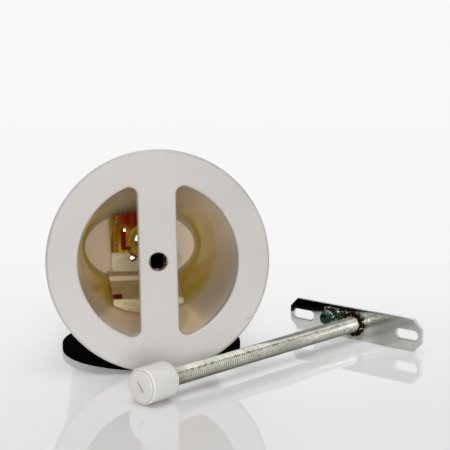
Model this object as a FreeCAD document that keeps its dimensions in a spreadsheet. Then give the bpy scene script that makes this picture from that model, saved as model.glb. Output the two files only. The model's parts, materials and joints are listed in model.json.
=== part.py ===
"""Pull cord switch of glazed ceramic, laid out on a table with its mounting set beside it.

The bell-shaped housing lies on its own slope on the sealing disc. The bracket stands on its
long edge, its rod points away from it, and the cap nut is on the rod's free end.
The housing and all that is inside it are drawn as they hang in use: ceiling face at z = 0,
pointing up, and the rod's passage along z. `lay_down` then turns them onto the table.
"""
import FreeCAD, Part
import math
import os
import Sketcher

V = FreeCAD.Vector
doc = FreeCAD.newDocument("PullCordSwitch")

# ---------------------------------------------------------------- driving dimensions, in mm

SIZES = [
    # mounting set
    ("rod_radius", 4.0, "threaded mounting rod, nominal 8 mm"),
    ("rod_reach", 136.5, "rod between the bracket and the cap nut"),
    ("rod_in_cap", 10.5, "rod end inside the cap nut"),
    ("bracket_length", 82.0, "bracket strip"),
    ("bracket_height", 16.5, "bracket strip, standing on its long edge"),
    ("bracket_thick", 2.0, "bracket strip"),
    ("bracket_corner", 4.8, "cut corners of the strip"),
    ("slot_inset", 8.6, "middle of a fixing slot, from the end of the strip"),
    ("slot_length", 13.4, "fixing slot, end to end"),
    ("slot_width", 4.7, "fixing slot, for 4 mm screws"),
    ("lock_washer_radius", 6.4, "toothed lock washer at the rod's root"),
    ("lock_washer_thick", 1.2, "toothed lock washer"),
    ("lock_washer_teeth", 12, "teeth of the lock washer"),
    ("earth_x", -12.4, "earth screw, from the middle of the bracket"),
    ("earth_up", 2.2, "earth screw, above the rod's axis"),
    ("earth_radius", 2.0, "earth screw, M4"),
    ("earth_head_radius", 3.1, "earth screw head"),
    ("earth_head_thick", 2.4, "earth screw head"),
    ("earth_shank", 6.2, "earth screw between bracket and head"),
    ("saddle_width", 8.4, "earth clamp saddle"),
    ("saddle_thick", 0.9, "earth clamp saddle"),
    ("saddle_below", 3.0, "earth clamp saddle, below its screw"),
    ("saddle_above", 4.6, "earth clamp saddle, above its screw"),
    ("saddle_lip", 1.8, "lips of the saddle"),
    ("cap_radius", 8.25, "cap nut"),
    ("cap_length", 16.3, "cap nut"),
    ("cap_face_radius", 7.0, "raised disc on the cap nut's end"),
    ("cap_face_step", 0.7, "height of the raised disc"),
    ("cap_groove", 0.5, "groove round the raised disc"),
    ("cap_slot_length", 5.6, "driver slot in the cap nut"),
    ("cap_slot_width", 0.8, "driver slot in the cap nut"),
    ("cap_slot_depth", 1.3, "driver slot in the cap nut"),
    ("cap_insert_radius", 6.0, "brass insert in the cap nut"),
    ("cap_washer_thick", 1.0, "spring washer in the cap nut's mouth"),
    # housing
    ("face_radius", 52.0, "ceiling face of the housing"),
    ("rim_thick", 4.5, "rim of the ceiling face"),
    ("rim_overhang", 3.9, "rim beyond the bell below it"),
    ("body_end_radius", 37.3, "bell at its closed end"),
    ("housing_length", 134.0, "bell from face to closed end"),
    ("opening_radius", 37.3, "arc of the two wiring openings"),
    ("bar_width", 17.8, "bar between the wiring openings"),
    ("bar_thick", 8.0, "bar between the wiring openings"),
    ("opening_corner", 3.8, "corner radius of the wiring openings"),
    ("mouth_edge", 0.8, "rounded edge of the openings"),
    ("rim_edge", 1.3, "rounded edges of the rim"),
    ("end_edge", 5.0, "rounded edge of the closed end"),
    ("end_thick", 12.0, "end wall of the housing"),
    ("cavity_waist", 60.0, "depth at which the hollow begins to close in"),
    ("waist_radius", 35.6, "hollow at that depth"),
    ("hollow_ledge", 0.7, "step out from an opening's arc into the hollow"),
    ("end_half_width", 29.5, "oval floor of the hollow, half its width"),
    ("end_half_height", 18.5, "oval floor of the hollow, half its height"),
    ("end_shift", -5.3, "oval floor, from the rod's axis"),
    ("rod_play", 0.25, "round the rod in the bar, disc and hub"),
    # sealing disc
    ("disc_radius", 44.0, "sealing disc"),
    ("disc_thick", 3.8, "sealing disc"),
    ("disc_gap", 0.4, "between the rim and the disc it lies on"),
    ("rest_gap", 0.1, "between pieces that lie on each other"),
    # switch insert, levels from the ceiling face
    ("hub_radius", 5.5, "hollow hub that the switch turns on"),
    ("hub_flange_radius", 8.0, "flange of the hub"),
    ("hub_flange_thick", 1.4, "flange of the hub"),
    ("hub_end", 3.4, "hub end outside the end wall"),
    ("hub_top", 24.0, "hub above the hollow's floor"),
    ("hub_nut_flats", 15.0, "thin nut outside the end wall"),
    ("hub_nut_thick", 2.8, "thin nut outside the end wall"),
    ("running", 0.05, "radial clearance of what turns on the hub"),
    ("base_thick", 4.8, "slab of the insert base"),
    ("base_half_width", 16.0, "slab of the insert base"),
    ("base_top", 12.0, "slab of the insert base, above the axis"),
    ("base_bottom", 20.0, "slab of the insert base, below the axis"),
    ("post_radius", 2.0, "posts that carry the cover plate"),
    ("post_x", 13.9, "posts, beside the axis"),
    ("post_top_y", 10.2, "upper posts, above the axis"),
    ("post_bottom_y", 1.5, "lower posts, below the axis"),
    ("post_length", 14.0, "posts"),
    ("spigot_radius", 1.2, "ends of the posts in the cover plate"),
    ("cover_corner_y", 11.8, "upper corners of the cover plate, above the axis"),
    ("cover_crown", 3.6, "arch of the cover plate's upper edge"),
    ("cover_bottom", 6.1, "cover plate, below the axis"),
    ("cover_half_width", 16.5, "cover plate"),
    ("cover_thick", 2.5, "cover plate"),
    ("cover_hole_radius", 8.2, "hole for the drum's collar"),
    ("shelf_half_width", 18.0, "terminal shelf"),
    ("shelf_reach", 54.0, "terminal shelf, from the hollow's floor to its front edge"),
    ("shelf_front_y", 26.4, "top of the shelf's front edge, below the axis"),
    ("terrace_y", 18.6, "upper step of the shelf, below the axis"),
    ("terrace_reach", 21.0, "upper step of the shelf, from the hollow's floor"),
    ("step_y", 21.2, "top of the shelf beyond the step, below the axis"),
    ("wall_play", 0.3, "between the shelf and the housing"),
    ("spring_radius", 7.0, "return spring, middle of the wire"),
    ("spring_wire", 0.5, "return spring, radius of the wire"),
    ("spring_pitch", 1.15, "return spring"),
    ("spring_turns", 2, "return spring"),
    ("lever_thick", 1.5, "pull lever"),
    ("lever_rise", 10.0, "lower face of the pull lever above the hollow's floor"),
    ("lever_hub_radius", 8.4, "pull lever round the hub"),
    ("lever_reach", 14.5, "cord eye of the lever, from the axis"),
    ("lever_width", 5.0, "pull lever's arm"),
    ("lever_angle", -85.0, "cord arm at rest, from the x axis"),
    ("eye_radius", 1.3, "cord hole of the eyelet"),
    ("eyelet_radius", 2.0, "eyelet in the lever"),
    ("pawl_reach", 13.6, "pawl pin, from the axis"),
    ("pawl_angle", 60.0, "pawl arm at rest, from the x axis"),
    ("pin_radius", 1.0, "pawl pin"),
    ("pawl_boss_radius", 1.9, "pawl round its pin"),
    ("pawl_thick", 2.2, "pawl"),
    ("pawl_swing", 41.0, "nose of the pawl, degrees ahead of its arm"),
    ("pawl_play", 0.3, "between the pawl's nose and the wheel"),
    ("pawl_spring_radius", 1.5, "spring on the pawl's pin, middle of the wire"),
    ("pawl_spring_wire", 0.22, "spring on the pawl's pin, radius of the wire"),
    ("pawl_spring_pitch", 0.55, "spring on the pawl's pin"),
    ("pawl_spring_leg", 6.0, "leg of the spring along the pawl"),
    ("wheel_radius", 10.5, "ratchet wheel, over the teeth"),
    ("wheel_root", 8.8, "ratchet wheel, root of the teeth"),
    ("wheel_teeth", 8, "ratchet wheel"),
    ("wheel_thick", 2.5, "ratchet wheel"),
    ("level_gap", 0.2, "between pieces stacked on the hub"),
    ("drum_radius", 9.0, "contact drum"),
    ("collar_radius", 7.9, "collar of the drum, seen in the cover's hole"),
    ("collar_sink", 0.2, "end of the collar below the cover plate's front"),
    ("collar_flutes", 24, "flutes round the collar"),
    ("flute_radius", 0.35, "flutes round the collar"),
    ("bridge_thick", 0.7, "moving contact on the drum"),
    ("bridge_height", 2.2, "moving contact on the drum"),
    ("strip_thick", 0.7, "fixed contact strips"),
    ("strip_out", 11.3, "outer edge of a strip, from the axis"),
    ("strip_width", 2.7, "fixed contact strips"),
    ("strip_top", 6.4, "fixed contact strips, above the axis"),
    ("strip_foot", 4.8, "fixed contact strips, below the axis"),
    ("foot_in", 6.1, "inner end of a strip's foot, from the axis"),
    ("foot_width", 1.5, "foot of a strip"),
    ("finger_width", 2.0, "finger of a strip"),
    ("finger_gap", 0.3, "between a finger and the moving contact"),
    ("rivet_radius", 0.8, "rivets of the strips"),
    ("rivet_rise", 0.5, "rivet heads above the strips"),
    ("screw_radius", 1.4, "small machine screws of the insert"),
    ("screw_head_radius", 2.2, "heads of the small screws"),
    ("screw_head_thick", 1.4, "heads of the small screws"),
    ("screw_grip", 5.0, "small screws in the wall and in the posts"),
    ("low_screw_x", 4.4, "lower base screw, left of the axis"),
    ("low_screw_y", 11.2, "lower base screw, below the axis"),
    ("clip_radius", 6.4, "retaining clip on the hub"),
    ("clip_thick", 0.8, "retaining clip on the hub"),
    ("bush_x", 17.0, "cord bush, beside the rod"),
    ("bush_y", 12.5, "cord bush, below the rod"),
    ("bush_radius", 3.2, "cord bush in the end wall"),
    ("bush_bore_radius", 1.9, "cord hole of the bush"),
    ("bush_lip_radius", 4.6, "lips of the cord bush"),
    ("bush_lip_thick", 1.3, "lips of the cord bush"),
    ("bush_rise", 9.0, "inner end of the cord bush above the hollow's floor, below the lever"),
    ("guide_width", 6.6, "cord guide beside the bush"),
    ("guide_length", 8.6, "cord guide, across the cord"),
    ("guide_rise", 8.8, "top of the cord guide above the hollow's floor, below the lever"),
    ("guide_groove", 1.6, "depth of the cord's groove in the guide"),
    ("terminal_width", 5.0, "terminal blocks"),
    ("terminal_length", 11.0, "terminal blocks"),
    ("terminal_height", 6.0, "terminal blocks"),
    ("terminal_inner", 2.4, "inner side of the first block, from the axis"),
    ("terminal_pitch", 7.4, "between the terminal blocks"),
    ("terminal_setback", 8.0, "terminal blocks, behind the shelf's front edge"),
    ("tab_length", 6.0, "loop terminal tab"),
    ("tab_width", 4.6, "loop terminal tab"),
    ("tab_thick", 0.8, "loop terminal tab"),
    # places on the table
    ("face_x", -32.3, "middle of the ceiling face, from the middle of the bracket"),
    ("face_y", -107.6, "middle of the ceiling face, from the bracket"),
    ("housing_turn", 139.0, "direction of the bell's axis on the table, degrees"),
    ("housing_roll", 0.7, "the bell rolled a little to its left, degrees"),
]

sheet = doc.addObject("Spreadsheet::Sheet", "sizes")
for row, (alias, number, note) in enumerate(SIZES, start=1):
    sheet.set("A%d" % row, note)
    sheet.set("B%d" % row, str(number))
    sheet.setAlias("B%d" % row, alias)
doc.recompute()


class Size:
    """A length with its expression, so that a drawing and its binding are written once."""

    def __init__(self, value, text):
        self.value = float(value)
        self.text = text

    @staticmethod
    def of(other):
        return other if isinstance(other, Size) else Size(other, repr(float(other)))

    def __add__(self, other):
        other = Size.of(other)
        return Size(self.value + other.value, "(%s + %s)" % (self.text, other.text))

    def __sub__(self, other):
        other = Size.of(other)
        return Size(self.value - other.value, "(%s - %s)" % (self.text, other.text))

    def __mul__(self, other):
        other = Size.of(other)
        return Size(self.value * other.value, "(%s * %s)" % (self.text, other.text))

    def __truediv__(self, other):
        other = Size.of(other)
        return Size(self.value / other.value, "(%s / %s)" % (self.text, other.text))

    def __neg__(self):
        return Size(-self.value, "(0 - %s)" % self.text)

    def __radd__(self, other):
        return Size.of(other) + self

    def __rsub__(self, other):
        return Size.of(other) - self

    def __rmul__(self, other):
        return Size.of(other) * self


class Sizes:
    """The sheet's cells by name."""

    def __getattr__(self, alias):
        return Size(sheet.get(alias), "sizes.%s" % alias)


s = Sizes()


def bind(thing, name, size):
    """Set a property and tie it to the sheet."""
    size = Size.of(size)
    if "." not in name:
        setattr(thing, name, size.value)
    thing.setExpression(name, size.text)


def place(thing, x=0.0, y=0.0, z=0.0, turn=None):
    """Bind a primitive's position; turn is a rotation that stays as it is."""
    if turn is not None:
        thing.Placement = FreeCAD.Placement(V(0, 0, 0), turn)
    for axis, size in (("x", x), ("y", y), ("z", z)):
        bind(thing, "Placement.Base.%s" % axis, size)
    return thing


def turn_about(axis, degrees):
    return FreeCAD.Rotation(V(*axis), degrees)


ALONG_Y = turn_about((1, 0, 0), -90)


# ---------------------------------------------------------------- primitives and booleans

def box(name, x0, x1, y0, y1, z0, z1):
    thing = doc.addObject("Part::Box", name)
    bind(thing, "Length", Size.of(x1) - x0)
    bind(thing, "Width", Size.of(y1) - y0)
    bind(thing, "Height", Size.of(z1) - z0)
    return place(thing, x0, y0, z0)


def cylinder(name, radius, z0, z1, x=0.0, y=0.0):
    thing = doc.addObject("Part::Cylinder", name)
    bind(thing, "Radius", radius)
    bind(thing, "Height", Size.of(z1) - z0)
    return place(thing, x, y, z0)


def rod_along_y(name, radius, y0, y1, x=0.0, z=0.0):
    thing = doc.addObject("Part::Cylinder", name)
    bind(thing, "Radius", radius)
    bind(thing, "Height", Size.of(y1) - y0)
    return place(thing, x, y0, z, ALONG_Y)


def prism(name, sides, radius, z0, z1):
    thing = doc.addObject("Part::Prism", name)
    thing.Polygon = sides
    bind(thing, "Circumradius", radius)
    bind(thing, "Height", Size.of(z1) - z0)
    return place(thing, 0.0, 0.0, z0)


def cut(name, base, *tools):
    for number, tool in enumerate(tools):
        thing = doc.addObject("Part::Cut", name if tool is tools[-1] else "%s_%d" % (name, number))
        thing.Base = base
        thing.Tool = tool
        base = thing
    return base


def fuse(name, *shapes):
    thing = doc.addObject("Part::MultiFuse", name)
    thing.Shapes = list(shapes)
    thing.Refine = True
    return thing


def common(name, *shapes):
    thing = doc.addObject("Part::MultiCommon", name)
    thing.Shapes = list(shapes)
    return thing


def collect(name, shapes):
    """Separate solids that share one node."""
    thing = doc.addObject("Part::Compound", name)
    thing.Links = list(shapes)
    return thing


# ---------------------------------------------------------------- bodies and their sketches

def new_body(name):
    return doc.addObject("PartDesign::Body", name)


def origin_plane(body, role):
    for feature in body.Origin.OriginFeatures:
        if feature.Role == role:
            return feature
    raise ValueError(role)


def new_sketch(body, name, role="XY_Plane", level=0.0):
    sketch = body.newObject("Sketcher::SketchObject", name)
    sketch.AttachmentSupport = [(origin_plane(body, role), "")]
    sketch.MapMode = "FlatFace"
    bind(sketch, "AttachmentOffset.Base.z", level)
    return sketch


def fix_point(sketch, geometry, point, x, y):
    """Hold a point at its place from the sketch's origin."""
    for kind, size in (("DistanceX", Size.of(x)), ("DistanceY", Size.of(y))):
        number = sketch.addConstraint(
            Sketcher.Constraint(kind, -1, 1, geometry, point, size.value))
        sketch.setExpression("Constraints[%d]" % number, size.text)


def polygon(sketch, corners):
    corners = [(Size.of(x), Size.of(y)) for x, y in corners]
    first = sketch.GeometryCount
    count = len(corners)
    for number, (x, y) in enumerate(corners):
        next_x, next_y = corners[(number + 1) % count]
        sketch.addGeometry(Part.LineSegment(V(x.value, y.value, 0), V(next_x.value, next_y.value, 0)))
    for number, (x, y) in enumerate(corners):
        follower = first + (number + 1) % count
        sketch.addConstraint(Sketcher.Constraint("Coincident", first + number, 2, follower, 1))
        fix_point(sketch, first + number, 1, x, y)


def rectangle(sketch, x0, x1, y0, y1):
    polygon(sketch, [(x0, y0), (x1, y0), (x1, y1), (x0, y1)])


def circle(sketch, radius, x=0.0, y=0.0):
    radius = Size.of(radius)
    middle = V(Size.of(x).value, Size.of(y).value, 0)
    number = sketch.addGeometry(Part.Circle(middle, V(0, 0, 1), radius.value))
    held = sketch.addConstraint(Sketcher.Constraint("Radius", number, radius.value))
    sketch.setExpression("Constraints[%d]" % held, radius.text)
    fix_point(sketch, number, 3, x, y)


def pad(body, name, sketch, length, downwards=False):
    feature = body.newObject("PartDesign::Pad", name)
    feature.Profile = sketch
    feature.Reversed = downwards
    bind(feature, "Length", length)
    return feature


def pocket(body, name, sketch, length):
    feature = body.newObject("PartDesign::Pocket", name)
    feature.Profile = sketch
    bind(feature, "Length", length)
    return feature


def spun(body, name, sketch):
    """A full turn round the body's z axis."""
    feature = body.newObject("PartDesign::Revolution", name)
    feature.Profile = sketch
    feature.ReferenceAxis = (sketch, ["V_Axis"])
    feature.Angle = 360.0
    return feature


def round_edges(body, name, radius, wanted):
    """Fillet the edges of the body's tip that the test picks."""
    doc.recompute()
    tip = body.Tip
    edges = ["Edge%d" % (number + 1) for number, edge in enumerate(tip.Shape.Edges) if wanted(edge)]
    feature = body.newObject("PartDesign::Fillet", name)
    feature.Base = (tip, edges)
    bind(feature, "Radius", radius)
    return feature


def ring_edge(z, radius):
    """Test for a circular edge round the axis at one height."""
    def wanted(edge):
        curve = edge.Curve
        if not isinstance(curve, Part.Circle):
            return False
        return abs(curve.Center.z - z) < 0.01 and abs(curve.Radius - radius) < 0.01
    return wanted


def polar(angle, reach):
    """A point at an angle in degrees and a distance from the axis."""
    return reach * math.cos(math.radians(angle)), reach * math.sin(math.radians(angle))


# ---------------------------------------------------------------- levels of the insert

END = -s.housing_length
FLOOR = END + s.end_thick
SLAB_LOW = FLOOR + s.rest_gap
SLAB_TOP = FLOOR + s.base_thick
COVER_LOW = SLAB_TOP + s.post_length
COVER_TOP = COVER_LOW + s.cover_thick
LEVER_LOW = FLOOR + s.lever_rise
LEVER_TOP = LEVER_LOW + s.lever_thick
WHEEL_LOW = LEVER_TOP + s.level_gap
WHEEL_TOP = WHEEL_LOW + s.wheel_thick
COLLAR_TOP = COVER_TOP - s.collar_sink
SHELF_FRONT = FLOOR + s.shelf_reach
TERRACE_END = FLOOR + s.terrace_reach
FINGER_IN = s.drum_radius + s.bridge_thick + s.finger_gap


# Posts of the base: the two on the left end in spigots, the two on the right take screws.
LEFT_POSTS = [(-s.post_x, -s.post_bottom_y), (-s.post_x, s.post_top_y)]
RIGHT_POSTS = [(s.post_x, -s.post_bottom_y), (s.post_x, s.post_top_y)]
SLAB_SCREWS = [(s.hub_flange_radius + s.screw_head_radius + 0.4, -s.hub_radius),
               (-s.low_screw_x, -s.low_screw_y)]
GUIDE_RIGHT = s.bush_x - s.bush_lip_radius - s.wall_play - s.rest_gap
GUIDE_LEFT = GUIDE_RIGHT - s.guide_width
GUIDE_MIDDLE = (GUIDE_LEFT + GUIDE_RIGHT) / 2


# ---------------------------------------------------------------- housing

def hollow(name, top, inset):
    """The housing's hollow, from a level down to its oval floor, drawn in by an inset."""
    upper = doc.addObject("Part::Circle", name + "_mouth")
    bind(upper, "Radius", s.opening_radius + s.hollow_ledge - inset)
    place(upper, 0.0, 0.0, top)
    waist = doc.addObject("Part::Circle", name + "_waist")
    bind(waist, "Radius", s.waist_radius - inset)
    place(waist, 0.0, 0.0, -s.cavity_waist)
    floor = doc.addObject("Part::Ellipse", name + "_floor")
    bind(floor, "MajorRadius", s.end_half_width - inset)
    bind(floor, "MinorRadius", s.end_half_height - inset)
    place(floor, 0.0, s.end_shift, FLOOR)
    loft = doc.addObject("Part::Loft", name)
    loft.Sections = [upper, waist, floor]
    loft.Solid = True
    loft.Ruled = False
    return loft


def wiring_opening():
    """One D-shaped opening of the ceiling face, right of the bar."""
    body = new_body("wiring_opening")
    sketch = new_sketch(body, "opening_outline", level=1.0)
    radius = s.opening_radius
    corner = s.opening_corner
    side = s.bar_width / 2
    middle_x = side.value + corner.value
    middle_y = math.sqrt((radius.value - corner.value) ** 2 - middle_x ** 2)
    swing = math.atan2(middle_y, middle_x)
    arc = sketch.addGeometry(Part.ArcOfCircle(
        Part.Circle(V(0, 0, 0), V(0, 0, 1), radius.value), -swing, swing))
    line = sketch.addGeometry(Part.LineSegment(
        V(side.value, middle_y, 0), V(side.value, -middle_y, 0)))
    upper = sketch.addGeometry(Part.ArcOfCircle(
        Part.Circle(V(middle_x, middle_y, 0), V(0, 0, 1), corner.value), swing, math.pi))
    lower = sketch.addGeometry(Part.ArcOfCircle(
        Part.Circle(V(middle_x, -middle_y, 0), V(0, 0, 1), corner.value), math.pi, 2 * math.pi - swing))
    sketch.addConstraint(Sketcher.Constraint("Coincident", arc, 3, -1, 1))
    sketch.addConstraint(Sketcher.Constraint("Tangent", arc, 2, upper, 1))
    sketch.addConstraint(Sketcher.Constraint("Tangent", upper, 2, line, 1))
    sketch.addConstraint(Sketcher.Constraint("Tangent", line, 2, lower, 1))
    sketch.addConstraint(Sketcher.Constraint("Tangent", lower, 2, arc, 1))
    sketch.addConstraint(Sketcher.Constraint("Equal", upper, lower))
    for kind, geometry, size in (("Radius", arc, radius), ("Radius", upper, corner)):
        held = sketch.addConstraint(Sketcher.Constraint(kind, geometry, size.value))
        sketch.setExpression("Constraints[%d]" % held, size.text)
    sketch.addConstraint(Sketcher.Constraint("Vertical", line))
    held = sketch.addConstraint(Sketcher.Constraint("DistanceX", -1, 1, line, 1, side.value))
    sketch.setExpression("Constraints[%d]" % held, side.text)
    pad(body, "opening_depth", sketch, s.bar_thick + 2.0, downwards=True)
    return body


def housing():
    """Bell of glazed ceramic: rim, sloping body, closed end, barred ceiling face."""
    outer = new_body("bell")
    profile = new_sketch(outer, "bell_profile", "XZ_Plane")
    polygon(profile, [
        (0.0, 0.0),
        (s.face_radius, 0.0),
        (s.face_radius, -s.rim_thick),
        (s.face_radius - s.rim_overhang, -s.rim_thick),
        (s.body_end_radius, END),
        (0.0, END),
    ])
    spun(outer, "bell_turned", profile)
    round_edges(outer, "face_rounding", s.rim_edge, ring_edge(0.0, s.face_radius.value))
    round_edges(outer, "rim_rounding", s.rim_edge, ring_edge(-s.rim_thick.value, s.face_radius.value))
    round_edges(outer, "end_rounding", s.end_edge, ring_edge(END.value, s.body_end_radius.value))

    right = wiring_opening()
    left = doc.addObject("Part::Mirroring", "wiring_opening_left")
    left.Source = right
    left.Normal = V(1, 0, 0)
    hole = cylinder("bar_hole", s.rod_radius + s.rod_play, -s.bar_thick - 1.0, 1.0)
    hub_hole = cylinder("hub_hole", s.hub_radius + s.rod_play, END - 1.0, FLOOR + 1.0)
    bush_hole = cylinder("bush_hole", s.bush_radius + s.rest_gap, END - 1.0, FLOOR + 1.0, s.bush_x, -s.bush_y)
    anchors = [cylinder("anchor_%d" % number, s.screw_radius, FLOOR - s.screw_grip - 1.0, FLOOR + 1.0, x, y)
               for number, (x, y) in enumerate(SLAB_SCREWS)]
    inside = hollow("hollow", -s.bar_thick, 0.0)
    raw = cut("housing_raw", outer, inside, right, left, hole, hub_hole, bush_hole, *anchors)
    doc.recompute()

    rounded = doc.addObject("Part::Fillet", "ceramic_housing")
    rounded.Base = raw
    edges = []
    for number, edge in enumerate(raw.Shape.Edges):
        flat = max(abs(vertex.Z) for vertex in edge.Vertexes) < 1e-4
        inward = edge.BoundBox.DiagonalLength < 2.1 * s.opening_radius.value
        if flat and inward:
            edges.append((number + 1, s.mouth_edge.value, s.mouth_edge.value))
    rounded.Edges = edges
    return rounded


# ---------------------------------------------------------------- sealing disc

def sealing_disc():
    body = new_body("sealing_disc")
    sketch = new_sketch(body, "disc_outline")
    circle(sketch, s.disc_radius)
    circle(sketch, s.rod_radius + s.rod_play)
    pad(body, "disc_sheet", sketch, s.disc_thick)
    return body


# ---------------------------------------------------------------- hub, base and cover of the insert

def hub_sleeve():
    """Hollow brass hub: the rod passes through it, the switch turns round it."""
    shank = cylinder("hub_shank", s.hub_radius, END - s.hub_end, FLOOR + s.hub_top)
    flange = cylinder("hub_flange", s.hub_flange_radius, SLAB_TOP, SLAB_TOP + s.hub_flange_thick)
    bore = cylinder("hub_bore", s.rod_radius + s.rod_play, END - s.hub_end - 1.0, FLOOR + s.hub_top + 1.0)
    return cut("hub_sleeve", fuse("hub_solid", shank, flange), bore)


def hub_nut():
    low = END - s.rest_gap - s.hub_nut_thick
    blank = prism("hub_nut_blank", 6, s.hub_nut_flats / math.sqrt(3), low, low + s.hub_nut_thick)
    bore = cylinder("hub_nut_bore", s.hub_radius + s.running, low - 1.0, END + 1.0)
    return cut("hub_nut", blank, bore)


def insert_base():
    """Steatite base: slab behind the switch, four posts, and the stepped terminal shelf."""
    slab = new_body("base_slab")
    outline = new_sketch(slab, "slab_outline", level=SLAB_LOW)
    rectangle(outline, -s.base_half_width, s.base_half_width, -s.base_bottom, s.base_top)
    pad(slab, "slab_sheet", outline, s.base_thick - s.rest_gap)

    side = new_body("shelf_side")
    edge = new_sketch(side, "shelf_profile", "YZ_Plane", level=-s.shelf_half_width)
    polygon(edge, [
        (-s.terrace_y, SLAB_LOW),
        (-s.terrace_y, TERRACE_END),
        (-s.step_y, TERRACE_END),
        (-s.shelf_front_y, SHELF_FRONT),
        (-s.opening_radius, SHELF_FRONT),
        (-s.opening_radius, SLAB_LOW),
    ])
    pad(side, "shelf_width", edge, s.shelf_half_width * 2)
    posts = [cylinder("post_%d" % number, s.post_radius, SLAB_TOP - 1.0, COVER_LOW, x, y)
             for number, (x, y) in enumerate(LEFT_POSTS + RIGHT_POSTS)]
    spigots = [cylinder("spigot_%d" % number, s.spigot_radius, COVER_LOW - 1.0, COVER_TOP, x, y)
               for number, (x, y) in enumerate(LEFT_POSTS)]
    bore = cylinder("base_hub_hole", s.hub_radius + s.rest_gap, SLAB_LOW - 1.0, SLAB_TOP + 1.0)
    bush = cylinder("base_bush_hole", s.bush_lip_radius + s.wall_play, SLAB_LOW - 1.0, SLAB_TOP + 1.0,
                    s.bush_x, -s.bush_y)
    holes = [cylinder("base_screw_hole_%d" % number, s.screw_radius, SLAB_LOW - 1.0, SLAB_TOP + 1.0, x, y)
             for number, (x, y) in enumerate(SLAB_SCREWS)]
    guide_hole = cylinder("base_guide_hole", s.screw_radius, SLAB_LOW - 1.0, SLAB_TOP + 1.0,
                          GUIDE_MIDDLE, -s.bush_y)
    threads = [cylinder("post_thread_%d" % number, s.screw_radius, COVER_LOW - s.screw_grip - 1.0,
                        COVER_LOW + 1.0, x, y)
               for number, (x, y) in enumerate(RIGHT_POSTS)]
    solid = fuse("base_solid", slab, side, *posts, *spigots)
    fitted = common("base_fitted", solid, hollow("hollow_inset", -s.bar_thick, s.wall_play))
    return cut("insert_base", fitted, bore, bush, guide_hole, *holes, *threads)


def small_screw(name, x, y, seat, depth):
    """Cheese-head screw with a driver slot, its head on a seat."""
    shank = cylinder(name + "_shank", s.screw_radius - s.running, seat - depth, seat + 0.2, x, y)
    head = cylinder(name + "_head", s.screw_head_radius, seat, seat + s.screw_head_thick, x, y)
    top = seat + s.screw_head_thick
    x = Size.of(x)
    y = Size.of(y)
    slot = box(name + "_slot", x - 3.0, x + 3.0, y - 0.3, y + 0.3, top - 0.6, top + 1.0)
    return cut(name, fuse(name + "_solid", shank, head), slot)


def base_screws():
    return collect("base_screws", [
        small_screw("base_screw_%d" % number, x, y, SLAB_TOP, s.base_thick + s.screw_grip)
        for number, (x, y) in enumerate(SLAB_SCREWS)])


def arched_plate(sketch):
    """Outline of the cover plate: a rectangle with an arched upper edge."""
    half = s.cover_half_width
    low = -s.cover_bottom
    top = s.cover_corner_y
    crown = s.cover_crown
    radius = (half.value ** 2 + crown.value ** 2) / (2 * crown.value)
    middle = top.value + crown.value - radius
    start = math.atan2(top.value - middle, half.value)
    arch = sketch.addGeometry(Part.ArcOfCircle(
        Part.Circle(V(0, middle, 0), V(0, 0, 1), radius), start, math.pi - start))
    corners = [V(-half.value, top.value, 0), V(-half.value, low.value, 0),
               V(half.value, low.value, 0), V(half.value, top.value, 0)]
    sides = [sketch.addGeometry(Part.LineSegment(corners[n], corners[n + 1])) for n in range(3)]
    loop = [arch] + sides
    for number, geometry in enumerate(loop):
        follower = loop[(number + 1) % len(loop)]
        sketch.addConstraint(Sketcher.Constraint("Coincident", geometry, 2, follower, 1))
    fix_point(sketch, sides[0], 1, -half, top)
    fix_point(sketch, sides[1], 1, -half, low)
    fix_point(sketch, sides[2], 1, half, low)
    fix_point(sketch, sides[2], 2, half, top)
    held = sketch.addConstraint(Sketcher.Constraint("Radius", arch, radius))
    sketch.setExpression("Constraints[%d]" % held, "(%s * %s + %s * %s) / (2 * %s)" % (
        half.text, half.text, crown.text, crown.text, crown.text))


def cover_plate():
    """Brown insulating plate; the opening for the drum's collar runs out at its lower edge."""
    body = new_body("cover_plate")
    outline = new_sketch(body, "cover_outline", level=COVER_LOW)
    arched_plate(outline)
    for x, y in LEFT_POSTS:
        circle(outline, s.spigot_radius + s.running, x, y)
    for x, y in RIGHT_POSTS:
        circle(outline, s.screw_radius, x, y)
    pad(body, "cover_sheet", outline, s.cover_thick)
    collar = new_sketch(body, "collar_outline", level=COVER_TOP)
    circle(collar, s.cover_hole_radius)
    pocket(body, "collar_opening", collar, s.cover_thick + 0.1)
    notch = new_sketch(body, "finger_notches", level=COVER_TOP)
    inner = FINGER_IN - s.finger_gap
    outer = FINGER_IN + s.strip_thick + s.finger_gap
    half = s.finger_width / 2 + s.finger_gap
    rectangle(notch, -outer, -inner, -half, half)
    rectangle(notch, inner, outer, -half, half)
    pocket(body, "finger_openings", notch, s.cover_thick + 0.1)
    return body


def cover_screws():
    return collect("cover_screws", [
        small_screw("cover_screw_%d" % number, x, y, COVER_TOP, s.cover_thick + s.screw_grip)
        for number, (x, y) in enumerate(RIGHT_POSTS)])


# ---------------------------------------------------------------- contacts

def contact_strip(name, side):
    """L-shaped copper strip on the cover plate; its finger bears on the moving contact."""
    low = COVER_TOP
    top = COVER_TOP + s.strip_thick
    inner = s.strip_out - s.strip_width
    half = s.finger_width / 2

    def span(label, x0, x1, y0, y1, z0, z1):
        edges = sorted([side * x0, side * x1], key=lambda size: size.value)
        return box("%s_%s" % (name, label), edges[0], edges[1], y0, y1, z0, z1)

    bar = span("bar", inner, s.strip_out, -s.strip_foot, s.strip_top, low, top)
    foot = span("foot", s.foot_in, s.strip_out, -s.strip_foot, s.foot_width - s.strip_foot, low, top)
    finger = span("finger", FINGER_IN, FINGER_IN + s.strip_thick, -half, half,
                  COVER_LOW - s.bridge_height, top)
    return fuse(name, bar, foot, finger)


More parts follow.
